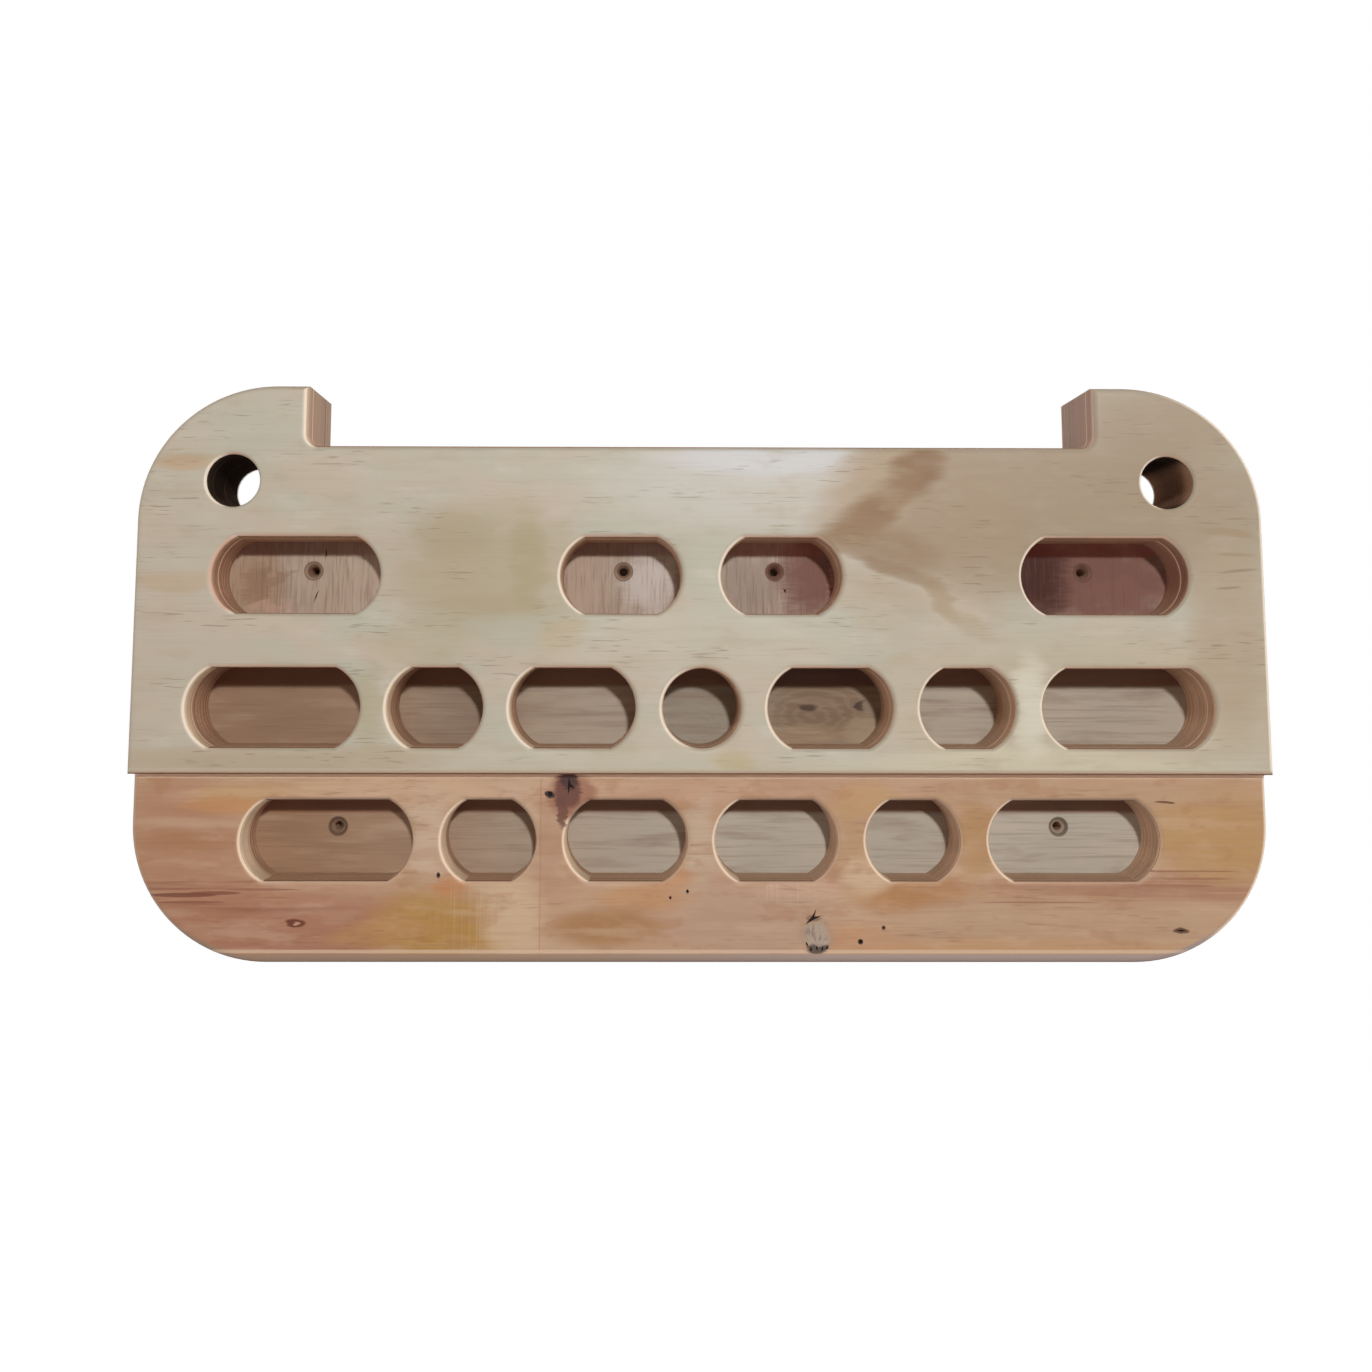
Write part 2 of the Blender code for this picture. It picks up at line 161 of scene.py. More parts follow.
def full_outline(inset, lip_inset):
    """The middle and back boards. The lip may have an inset of its own, which fades at the step."""
    side = []
    for share in (0.0, 0.25, 0.5, 0.75, 1.0):
        ease = share * share * (3 - 2 * share)
        side.append((HALF_WIDTH - inset - (lip_inset - inset) * ease, STEP_Z - LIP_RUN_OUT * share))
    corner_x, corner_z = HALF_WIDTH - BOTTOM_CORNER, BOTTOM_Z + BOTTOM_CORNER
    half = arc(corner_x, corner_z, BOTTOM_CORNER - lip_inset, 270, 90, CORNER_SEGMENTS) + side[::-1]
    return horns(inset) + [(-x, z) for x, z in reversed(half)] + half


print("outline", len(full_outline(0.0, 0.0)), "points")

# %% [markdown]
# ## Rounded edges
# A roundover is a quarter circle that starts at the board's face. How far it has cut in at a depth
# follows from the circle, so each contour asks for its own radius there. A pocket's end is an
# arc, and a flatter one than a half circle.

# %% Round the edges of pockets and holes
def rounded(depth, start, radius):
    """The inset of a roundover of that radius, on a face that lies at the depth start."""
    left = radius - abs(depth - start)
    return radius - math.sqrt(radius * radius - left * left) if left > 0 else 0.0


def pocket(x, z, width, height, mouth):
    """A pocket's contour: flat above and below, with a shallow arc at each end."""
    half = height / 2
    radius = (half ** 2 + POCKET_BULGE ** 2) / (2 * POCKET_BULGE)
    centre = width / 2 - radius

    def ring(depth, recess=0.0):
        grow = rounded(depth, mouth, MOUTH_ROUND) + recess
        reach = math.degrees(math.asin((half + grow) / (radius + grow)))
        ends = (arc(x + side * centre, z, radius + grow, start - reach, 2 * reach, POCKET_END_SEGMENTS)
                for side, start in ((1, 0), (-1, 180)))
        return sum(ends, [])

    return ring


def round_hole(x, z, radius, mouth, mouth_round, segments):
    """A round hole's contour."""
    def ring(depth, recess=0.0):
        grow = rounded(depth, mouth, mouth_round) + recess
        return arc(x, z, radius + grow, 0, 360, segments)[:-1]

    return ring


print("1 mm below the front face, its edge is cut in by", rounded(MM, 0.0, FRONT_ROUND))


# %% Draw screw holes and cracks
def screw_hole(x, z, seat):
    """A clearance hole with a countersink that is widest at the seat's depth."""
    def ring(depth, recess=0.0):
        radius = max(COUNTERSINK_RADIUS - (depth - seat), SCREW_RADIUS) + recess
        return arc(x, z, radius, 0, 360, SCREW_SEGMENTS)[:-1]

    return ring


def crack(x, z, width, *tips):
    """A crack's contour, in millimetres: thin arms that run from its middle to each tip."""
    tips = sorted(tips, key=lambda tip: math.atan2(tip[1] - z, tip[0] - x))
    outline = []
    for tip, following in zip(tips, tips[1:] + tips[:1]):
        start = math.atan2(tip[1] - z, tip[0] - x)
        turn = (math.atan2(following[1] - z, following[0] - x) - start) % math.tau
        inner_x = x + width / 2 * math.cos(start + turn / 2)
        inner_z = z + width / 2 * math.sin(start + turn / 2)
        outline += [(tip[0] * MM, tip[1] * MM), (inner_x * MM, inner_z * MM)]
    return lambda depth, recess=0.0: outline


print("a screw's hole has", len(screw_hole(0, 0, 0)(0)), "points")

# %% [markdown]
# ## The three rows
# The rows mirror about the middle, so each is a list of widths and gaps from the centre outwards. The
# top row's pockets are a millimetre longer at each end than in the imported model, as the photograph
# shows them.

# %% List the pockets and holes
def row(z, height, first_edge, widths, gaps, mouth):
    """Mirror-image pockets from the centre line outwards, left one first in each pair."""
    places = []
    edge = first_edge
    for width, gap in zip(widths, gaps):
        for side in (-1, 1):
            places.append((side * (edge + width / 2), z, width, height, mouth))
        edge += width + gap
    return places


top_places = row(
    TOP_ROW_Z, TOP_POCKET_HEIGHT, 10.2 * MM, (61.9 * MM, 85.7 * MM), (92.4 * MM, 0), 0.0)
middle_places = row(
    MIDDLE_ROW_Z, POCKET_HEIGHT, 33.6 * MM, (63.8 * MM, 48.6 * MM, 88 * MM), (13.7 * MM, 13.7 * MM, 0), 0.0)
lip_places = row(
    LIP_ROW_Z, POCKET_HEIGHT, 7.2 * MM, (62.1 * MM, 47.8 * MM, 87.1 * MM), (15 * MM, 15 * MM, 0),
    MIDDLE_BOARD)
top_pockets, middle_pockets, lip_pockets = (
    [pocket(*place) for place in places] for places in (top_places, middle_places, lip_places))
middle_pockets.append(
    round_hole(0, MIDDLE_ROW_Z, ONE_FINGER_RADIUS, 0.0, MOUTH_ROUND, ONE_FINGER_SEGMENTS))
hang_holes = [
    round_hole(side * HANG_HOLE_X, HANG_HOLE_Z, HANG_HOLE_RADIUS, 0.0, HANG_HOLE_ROUND, HANG_HOLE_SEGMENTS)
    for side in (-1, 1)]
print("pockets", len(top_pockets), len(middle_pockets), len(lip_pockets), "hang holes", len(hang_holes))

# %% List the screws
top_seats = [(side * x, TOP_ROW_Z + SCREW_RISE) for x in TOP_SCREW_XS for side in (-1, 1)]
lip_seats = [(side * LIP_SCREW_X, LIP_ROW_Z + SCREW_RISE) for side in (-1, 1)]
top_screws = [screw_hole(x, z, SHALLOW_FLOOR) for x, z in top_seats]
lip_screws = [screw_hole(x, z, DEEP_FLOOR) for x, z in lip_seats]
print("screws", len(top_screws), len(lip_screws))


# %% [markdown]
# ## Three outlines
# The front board ends at the step. The middle board goes on below it, and its edge is rounded only
# there. The back board's edge is rounded towards the wall.

# %% Give each board its outline
def front_edge(depth, recess=0.0):
    return front_outline(rounded(depth, 0.0, FRONT_ROUND) + recess)


def middle_edge(depth, recess=0.0):
    return full_outline(recess, rounded(depth, MIDDLE_BOARD, LIP_ROUND) + recess)


def back_edge(depth, recess=0.0):
    inset = rounded(depth, THICKNESS, REAR_ROUND) + recess
    return full_outline(inset, inset)


print("edges", len(front_edge(0.0)), len(middle_edge(MIDDLE_BOARD)), len(back_edge(THICKNESS)), "points")

# %% [markdown]
# ## A sheet of wood
# A ply is a flat sheet with holes. Its walls are rings joined by quads, one ring for each depth at
# which a rounded edge needs a corner. Its two faces are filled between the outline and the holes.
# Booleans could cut the holes, but they leave ragged triangles on a rounded edge, and rings don't.

# %% Make one closed sheet
def add_sheet(body, contours, depths, recess, finish):
    """Add one closed sheet to a bmesh; finish is its material's index."""
    made = []
    rims = {0: [], len(depths) - 1: []}
    for contour in contours:
        rings = []
        for depth in depths:
            rings.append([body.verts.new((x, depth - THICKNESS, z)) for x, z in contour(depth, recess)])
        for near, far in zip(rings, rings[1:]):
            for index, vertex in enumerate(near):
                after = (index + 1) % len(near)
                wall = body.faces.new((vertex, near[after], far[after], far[index]))
                wall.smooth = True
                made.append(wall)
        for place, edges in rims.items():
            ring = rings[place]
            edges += [body.edges.get((a, b)) for a, b in zip(ring, ring[1:] + ring[:1])]
    for edges in rims.values():
        filled = bmesh.ops.triangle_fill(body, use_beauty=True, edges=edges)
        made += [face for face in filled["geom"] if isinstance(face, bmesh.types.BMFace)]
    for face in made:
        face.material_index = finish
    bmesh.ops.recalc_face_normals(body, faces=made)
    return made


# %% Choose the depths of its rings
SLIVER = 0.02 * MM


def stations(near, far, start, radius):
    """The depths at which a sheet needs a ring: its two faces and the corners of the roundover."""
    angles = [math.radians(90 * (1 - step / ROUNDOVER_STEPS)) for step in range(ROUNDOVER_STEPS + 1)]
    steps = [start + radius * (1 - math.sin(angle)) for angle in angles]
    return [near] + [depth for depth in steps if near + SLIVER < depth < far - SLIVER] + [far]


def rear_stations(near, far):
    """The same for the rounded rear edge, seen from the wall."""
    from_wall = stations(THICKNESS - far, THICKNESS - near, 0.0, REAR_ROUND)
    return [THICKNESS - depth for depth in reversed(from_wall)]


print("rings in the first 6 mm:", len(stations(0.0, 6 * MM, 0.0, FRONT_ROUND)))

# %% [markdown]
# ## Stacks of plies
# Plies are glued with their grain crossed, and the glue shows as a thin dark line that sits a hair
# below the wood, because the sander takes the wood and the brittle glue differently.

# %% Turn layers into pieces
SHARP_TURN = math.radians(21)


def piece_from(name, body, materials):
    """Make an object with crisp corners from a bmesh."""
    mesh = bpy.data.meshes.new(name)
    body.to_mesh(mesh)
    body.free()
    for material in materials:
        mesh.materials.append(material)
    mesh.set_sharp_from_angle(angle=SHARP_TURN)
    piece = bpy.data.objects.new(name, mesh)
    bpy.context.scene.collection.objects.link(piece)
    return piece


def veneer(name, contours, depths, material):
    """One sheet as a piece of its own."""
    body = bmesh.new()
    add_sheet(body, contours, depths, 0.0, 0)
    return piece_from(name, body, (material,))


# %% Stack plies
def ply_edges(start, pitch, plies):
    """The depths between plies of one thickness."""
    return [start + pitch * number for number in range(plies + 1)]


def stack(name, contours, edges, spacing, materials, first_marks=()):
    """Closed plies between the depths in edges, each with a glue line behind it.

    materials are the two plies in turn and the glue. The marks are cut into the first ply only.
    """
    body = bmesh.new()
    for index, (near, far) in enumerate(zip(edges, edges[1:])):
        cuts = contours + list(first_marks) if index == 0 else contours
        add_sheet(body, cuts, spacing(near + GLUE / 2, far - GLUE / 2), 0.0, index % 2)
        add_sheet(body, contours, (far - GLUE / 2, far + GLUE / 2), GROOVE, 2)
    piece = piece_from(name, body, materials)
    print(name, len(piece.data.polygons), "faces")
    return piece


# %% [markdown]
# ## Repeating plies by rule
# Behind the rounded edges every ply is the same sheet again, two millimetres further back. That is a
# rule, so Geometry Nodes lay these plies. They start from one flat sheet, which carries an attribute
# that says which way its walls let in.

# %% Fill one flat sheet
def flat_sheet(name, contours, depth):
    """The flat sheet that the laminate tree repeats, at the depth where its first ply starts."""
    body = bmesh.new()
    edges, recess = [], []
    for contour in contours:
        line, let_in = contour(depth), contour(depth, MM)
        ring = [body.verts.new((x, depth - THICKNESS, z)) for x, z in line]
        recess += [((b[0] - a[0]) / MM, 0.0, (b[1] - a[1]) / MM) for a, b in zip(line, let_in)]
        edges += [body.edges.new((a, b)) for a, b in zip(ring, ring[1:] + ring[:1])]
    filled = bmesh.ops.triangle_fill(body, use_beauty=True, edges=edges)
    faces = [face for face in filled["geom"] if isinstance(face, bmesh.types.BMFace)]
    for face in faces:
        face.normal_update()
        if face.normal.y < 0:
            face.normal_flip()
    mesh = bpy.data.meshes.new(name)
    body.to_mesh(mesh)
    body.free()
    let_in = mesh.attributes.new("let_in", "FLOAT_VECTOR", "POINT")
    let_in.data.foreach_set("vector", [number for vector in recess for number in vector])
    sheet = bpy.data.objects.new(name, mesh)
    bpy.context.scene.collection.objects.link(sheet)
    return sheet


# %% [markdown]
# ## The laminate tree
# The sheet is extruded into a ply, and a second copy that is let in a little becomes the glue line.
# Both are placed on a row of points, one for each ply. A number stored on the points picks the finish.

# %% Write one node in one line
def tree_node(tree, kind, inputs=None, **settings):
    """Add a node, set its options, and link or set its inputs by name or number."""
    made = tree.nodes.new(kind)
    for name, value in settings.items():
        setattr(made, name, value)
    for key, value in (inputs or {}).items():
        socket = made.inputs[key]
        if isinstance(value, bpy.types.NodeSocket):
            tree.links.new(value, socket)
        else:
            socket.default_value = value
    return made


# %% Close a sheet into a slab
def vector_y(tree, value):
    return tree_node(tree, "ShaderNodeCombineXYZ", {"Y": value}).outputs[0]


def closed(tree, sheet, thickness):
    """Extrude a flat sheet towards the wall, and put its underside back."""
    raised = tree_node(
        tree, "GeometryNodeExtrudeMesh",
        {"Mesh": sheet, "Offset": vector_y(tree, thickness), "Offset Scale": 1.0, "Individual": False})
    back = tree_node(tree, "GeometryNodeFlipFaces", {"Mesh": sheet})
    both = tree_node(tree, "GeometryNodeJoinGeometry", {0: raised.outputs["Mesh"]})
    tree.links.new(back.outputs[0], both.inputs[0])
    welded = tree_node(tree, "GeometryNodeMergeByDistance", {0: both.outputs[0], "Distance": 1e-7})
    return welded.outputs[0]


def picked(tree, laminate, given):
    """Give each layer its material, by the number stored on its points."""
    finish = tree_node(tree, "GeometryNodeInputNamedAttribute", {"Name": "finish"}, data_type="FLOAT")
    for value, slot in ((0.0, "Grain Across"), (1.0, "Grain Along"), (2.0, "Glue")):
        same = tree_node(
            tree, "FunctionNodeCompare", {"A": finish.outputs[0], "B": value, "Epsilon": 0.1},
            data_type="FLOAT", operation="EQUAL")
        laminate = tree_node(
            tree, "GeometryNodeSetMaterial",
            {"Geometry": laminate, "Selection": same.outputs[0], "Material": given[slot]}).outputs[0]
    return laminate


# %% Build the laminate tree
def laminate_tree():
    """Plies and glue lines in turn, from one flat sheet."""
    tree = bpy.data.node_groups.new("laminate", "GeometryNodeTree")
    sockets = (
        ("Sheet", "NodeSocketGeometry"), ("Plies", "NodeSocketInt"), ("First Grain", "NodeSocketInt"),
        ("Ply Pitch", "NodeSocketFloat"), ("Glue Line", "NodeSocketFloat"), ("Groove", "NodeSocketFloat"),
        ("Grain Along", "NodeSocketMaterial"), ("Grain Across", "NodeSocketMaterial"),
        ("Glue", "NodeSocketMaterial"))
    for name, kind in sockets:
        tree.interface.new_socket(name, in_out="INPUT", socket_type=kind)
    tree.interface.new_socket("Laminate", in_out="OUTPUT", socket_type="NodeSocketGeometry")
    given = tree.nodes.new("NodeGroupInput").outputs

    ply_thickness = tree_node(
        tree, "ShaderNodeMath", {0: given["Ply Pitch"], 1: given["Glue Line"]}, operation="SUBTRACT")
    wood = closed(tree, given["Sheet"], ply_thickness.outputs[0])
    recess = tree_node(tree, "GeometryNodeInputNamedAttribute", {"Name": "let_in"}, data_type="FLOAT_VECTOR")
    inward = tree_node(
        tree, "ShaderNodeVectorMath", {0: recess.outputs[0], "Scale": given["Groove"]}, operation="SCALE")
    shifted = tree_node(
        tree, "ShaderNodeVectorMath", {0: inward.outputs[0], 1: vector_y(tree, ply_thickness.outputs[0])},
        operation="ADD")
    let_in_sheet = tree_node(
        tree, "GeometryNodeSetPosition", {"Geometry": given["Sheet"], "Offset": shifted.outputs[0]})
    glue = closed(tree, let_in_sheet.outputs[0], given["Glue Line"])

    row_of_plies = tree_node(
        tree, "GeometryNodeMeshLine", {"Count": given["Plies"], "Offset": vector_y(tree, given["Ply Pitch"])},
        mode="OFFSET")
    number = tree_node(tree, "GeometryNodeInputIndex")
    turn = tree_node(
        tree, "ShaderNodeMath", {0: number.outputs[0], 1: given["First Grain"]}, operation="ADD")
    grain = tree_node(tree, "ShaderNodeMath", {0: turn.outputs[0], 1: 2.0}, operation="MODULO")
    joined = tree_node(tree, "GeometryNodeJoinGeometry")
    for layer, finish in ((wood, grain.outputs[0]), (glue, 2.0)):
        marked = tree_node(
            tree, "GeometryNodeStoreNamedAttribute",
            {"Geometry": row_of_plies.outputs[0], "Name": "finish", "Value": finish},
            data_type="FLOAT", domain="POINT")
        placed = tree_node(
            tree, "GeometryNodeInstanceOnPoints", {"Points": marked.outputs[0], "Instance": layer})
        tree.links.new(placed.outputs[0], joined.inputs[0])
    laid = tree_node(tree, "GeometryNodeRealizeInstances", {0: joined.outputs[0]})
    tree_node(tree, "NodeGroupOutput", {0: picked(tree, laid.outputs[0], given)})
    print("laminate:", len(tree.nodes), "nodes")
    return tree


laminate = laminate_tree()

# %% [markdown]
# ## Turning a tree's result into a plain mesh
# A modifier's inputs are found by their identifiers. They are set before the object is evaluated for
# the first time, and the evaluated result becomes the piece's own mesh.

# %% Apply a tree
def grown(piece, tree, values):
    """Run a Geometry Nodes tree on a piece and keep the result as its mesh."""
    modifier = piece.modifiers.new(tree.name, "NODES")
    modifier.node_group = tree
    for item in tree.interface.items_tree:
        if item.in_out == "INPUT" and item.name in values:
            modifier[item.identifier] = values[item.name]
    bpy.context.view_layer.update()
    evaluated = piece.evaluated_get(bpy.context.evaluated_depsgraph_get())
    mesh = bpy.data.meshes.new_from_object(evaluated)
    piece.modifiers.clear()
    piece.data = mesh
    mesh.polygons.foreach_set("use_smooth", [True] * len(mesh.polygons))
    mesh.set_sharp_from_angle(angle=SHARP_TURN)
    print(piece.name, len(mesh.polygons), "faces")
    return piece


# %% [markdown]
# ## Finishes
# All finishes read Object coordinates in metres, so a pattern keeps its true scale. Colours are
# written as a paint chart gives them, from 0 to 255, and turned into the linear values that shaders
# want. Wood has structure on three scales: broad tints, growth lines, and fibres a fraction of a
# millimetre thick. Stretched noise gives all three.

# %% Mix paint
SPECULAR = 0.3
IN_TOP_ROW = (20 * MM, 25 * MM)
IN_LIP_ROW = (-50 * MM, -55 * MM)


def paint(red, green, blue):
    """A colour from a paint chart as the linear value that a shader wants."""
    shares = (value / 255 for value in (red, green, blue))
    linear = [s / 12.92 if s <= 0.04045 else ((s + 0.055) / 1.055) ** 2.4 for s in shares]
    return (*linear, 1.0)


print("middle grey is", paint(128, 128, 128)[0])

# %% [markdown]
# ## A maker's set of nodes
# A finish is a tree of many small nodes of the same few kinds. A class with one short method for each
# kind keeps the trees readable. A mask is a number from 0 to 1 at every place of the surface.

# %% Name the kinds of node
class Shading:
    """A material, with one short method for each kind of node that the wood needs."""

    def __init__(self, name, roughness):
        self.material = bpy.data.materials.new(name)
        self.material.use_nodes = True
        self.tree = self.material.node_tree
        self.shader = self.tree.nodes["Principled BSDF"]
        self.shader.inputs["Roughness"].default_value = roughness
        self.shader.inputs["Specular IOR Level"].default_value = SPECULAR
        coordinates = tree_node(self.tree, "ShaderNodeTexCoord")
        self.place, normal = coordinates.outputs["Object"], coordinates.outputs["Normal"]
        self.x, self.y, self.z = tree_node(self.tree, "ShaderNodeSeparateXYZ", {0: self.place}).outputs
        self.facing = tree_node(self.tree, "ShaderNodeSeparateXYZ", {0: normal}).outputs
        self.along, self.upward = self.x, self.z

    def math(self, operation, first, second=0.0):
        return tree_node(self.tree, "ShaderNodeMath", {0: first, 1: second}, operation=operation).outputs[0]

    def plus(self, first, second):
        return self.math("ADD", first, second)

    def minus(self, first, second):
        return self.math("SUBTRACT", first, second)

    def times(self, first, second):
        """The product. That of two masks is the part that both cover."""
        return self.math("MULTIPLY", first, second)

    def noise(self, stretch, detail=3.0, rough=0.55, shift=(0.0, 0.0, 0.0)):
        """Noise whose cells measure one over stretch, in metres, along x, y and z."""
        mapped = tree_node(
            self.tree, "ShaderNodeMapping", {"Vector": self.place, "Scale": stretch, "Location": shift})
        return tree_node(
            self.tree, "ShaderNodeTexNoise",
            {"Vector": mapped.outputs[0], "Scale": 1.0, "Detail": detail, "Roughness": rough}).outputs["Fac"]

    def between(self, value, low, high):
        """0 at low, 1 at high, and an eased step between them."""
        return tree_node(
            self.tree, "ShaderNodeMapRange", {"Value": value, "From Min": low, "From Max": high},
            interpolation_type="SMOOTHSTEP").outputs[0]

    def blend(self, share, under, over):
        made = tree_node(self.tree, "ShaderNodeMix", data_type="RGBA", blend_type="MIX")
        for socket, value in ((0, share), (6, under), (7, over)):
            if isinstance(value, bpy.types.NodeSocket):
                self.tree.links.new(value, made.inputs[socket])
            else:
                made.inputs[socket].default_value = value
        return made.outputs[2]

    def tint(self, under, mask, share, over):
        """Lay a colour over another where the mask is 1, as strongly as the share says."""
        return self.blend(self.times(mask, share), under, over)


# %% [markdown]
# ## Spots
# Most marks are an ellipse whose mask tints the wood under it. Noise can bend the places at which a
# spot is drawn, so that its edge runs out along the grain like that of a growth ring.

# %% Draw spots and link the result
class Finish(Shading):
    """The same with spots, and with a last step that links everything."""

    def bend(self, run_out, sway, fineness=1.0):
        """From here on spots have edges that run out along the grain, by these lengths in metres."""
        feather = self.noise((22 * fineness, 40, 130 * fineness), 3.0, 0.55, (1.9, 0.0, 4.4))
        drift = self.noise((13 * fineness, 20, 22 * fineness), 2.0, 0.5, (5.3, 0.0, 0.8))
        self.along = self.plus(self.x, self.times(self.minus(feather, 0.5), run_out))
        self.upward = self.plus(self.z, self.times(self.minus(drift, 0.5), sway))

    def straighten(self):
        """From here on spots are true ellipses again."""
        self.along, self.upward = self.x, self.z

    def spot(self, x, z, wide, high, soft=0.9, climb=0.0):
        """A mask: 1 in an ellipse's middle, a half at its edge, 0 outside, in millimetres.

        It can climb to the right.
        """
        run = self.minus(self.along, x * MM)
        rise = self.minus(self.upward, z * MM)
        if climb:
            rise = self.minus(rise, self.times(run, climb))
        sideways = self.math("DIVIDE", run, wide * MM)
        upright = self.math("DIVIDE", rise, high * MM)
        reach = self.plus(self.times(sideways, sideways), self.times(upright, upright))
        return self.between(reach, 1.0 + soft, 1.0 - soft)

    def spots(self, colour, rows, soft=0.9):
        """Tint one ellipse after another: x, z, half width, half height, colour, share and climb."""
        for x, z, wide, high, shade, share, *climb in rows:
            colour = self.tint(colour, self.spot(x, z, wide, high, soft, *climb), share, paint(*shade))
        return colour

    def finish(self, colour, height=None, depth=0.0001):
        """Link the colour, and a bump whose height of 1 stands for the depth in metres."""
        self.tree.links.new(colour, self.shader.inputs["Base Color"])
        if height is not None:
            bump = tree_node(
                self.tree, "ShaderNodeBump", {"Height": height, "Strength": 1.0, "Distance": depth})
            self.tree.links.new(bump.outputs[0], self.shader.inputs["Normal"])
        return self.material


# %% [markdown]
# ## What all veneers share
# Under the figure lies fine grain, and resin canals show as short dark dashes, gathered in patches.
# A rounded edge cuts through the veneer. It gets painted light and shade by the way it faces: a painted
# highlight where it faces right, painted shade where it faces down, and a painted tone where it faces up or
# left.

# %% Draw grain and resin canals
def fibres(finish, fine=1.0):
    """Fine grain along the board: a mix of two widths, about 0.5 in the middle."""
    thin = finish.noise((30, 300, 1250 * fine), 2.0, 0.5)
    thick = finish.noise((12, 120, 380 * fine), 3.0, 0.6, (3.1, 0.0, 1.7))
    return finish.plus(finish.times(thin, 0.5), finish.times(thick, 0.5))


def dashes(finish, gate_low=0.48, gate_high=0.62):
    """Short dark dashes of resin canals, gathered in patches."""
    grains = finish.noise((75, 400, 950), 1.0, 0.4, (7.7, 0.0, 2.2))
    patch = finish.noise((17, 40, 60), 2.0, 0.5, (1.3, 0.0, 5.9))
    return finish.times(finish.between(grains, 0.60, 0.72), finish.between(patch, gate_low, gate_high))


# %% Wear the edges
def lit_and_shaded_edge(finish, colour, edge_highlight, edge_shade_below, edge_shading_up_and_left):
    """Paint light and shade on the rounded edges by the way they face."""
    turned = finish.between(finish.math("ABSOLUTE", finish.facing["Y"]), 0.985, 0.80)
    for axis, low, high, share, tint in (
            ("Z", 0.1, 0.6, 0.55, edge_shading_up_and_left), ("Z", -0.1, -0.6, 0.75, edge_shade_below),
            ("X", -0.2, -0.7, 0.45, edge_shading_up_and_left), ("X", 0.05, 0.45, 0.9, edge_highlight)):
        mask = finish.times(turned, finish.between(finish.facing[axis], low, high))
        colour = finish.tint(colour, mask, share, tint)
    return colour


def blushing(finish, usual_highlight, ruddy):
    """A rim's painted highlight colour, ruddier at the left end of the top row's outer left pocket."""
    blush = finish.times(finish.spot(-250, 50, 16, 24, 0.3), 0.75)
    return finish.blend(blush, usual_highlight, ruddy)


# %% [markdown]
# ## Painted shade in the drilled holes
# The two hang holes' walls get painted shade, nearly black, lighter where the right one's right wall
# faces left. The mask that paints this shade also takes the gloss away. A thin dark rim is drawn round
# each screw's countersink.

# %% Scorch the hang holes and bruise the rims
BORE_REACH = 15
SEAT_REACH = 5.2


def shaded_bores(finish, colour):
    """Paint shade on the walls of the two hang holes, lighter on the right hole's wall that faces left."""
    finish.straighten()
    height = HANG_HOLE_Z / MM
    left, right = (
        finish.spot(side * HANG_HOLE_X / MM, height, BORE_REACH, BORE_REACH, 0.2) for side in (-1, 1))
    bores = finish.plus(left, right)
    # painted shade, nearly black, on the hang holes' walls
    colour = finish.tint(colour, bores, 0.95, paint(40, 31, 25))
    gloss = finish.times(finish.minus(1.0, bores), SPECULAR)
    finish.tree.links.new(gloss, finish.shader.inputs["Specular IOR Level"])
    # painted light on the right hole's wall that faces left
    faces_left = finish.between(finish.facing["X"], -0.4, -0.9)
    lit_side = finish.times(finish.spot(248, height, 9, 13, 0.4), faces_left)
    return finish.tint(colour, lit_side, 0.9, paint(196, 150, 122))


def dark_seat_rims(finish, colour, seats):
    """Draw a thin dark rim round each screw's seat."""
    finish.straighten()
    for x, z in seats:
        rim = finish.spot(x / MM, z / MM, SEAT_REACH, SEAT_REACH, 0.05)
        colour = finish.tint(colour, rim, 0.7, paint(84, 60, 48))
    return colour


print("screw seats to bruise:", len(top_seats + lip_seats))

# %% [markdown]
# ## The pale face
# Rotary-peeled pine: a blade peels the log like a paper roll, so growth rings open into broad soft
# figures whose edges run out along the grain. Each row of the table is one such figure: its place, half
# width and half height in millimetres, its colour, how strongly it covers, and how steeply it climbs
# to the right. The side that goes to the wall is the same veneer without the figures.

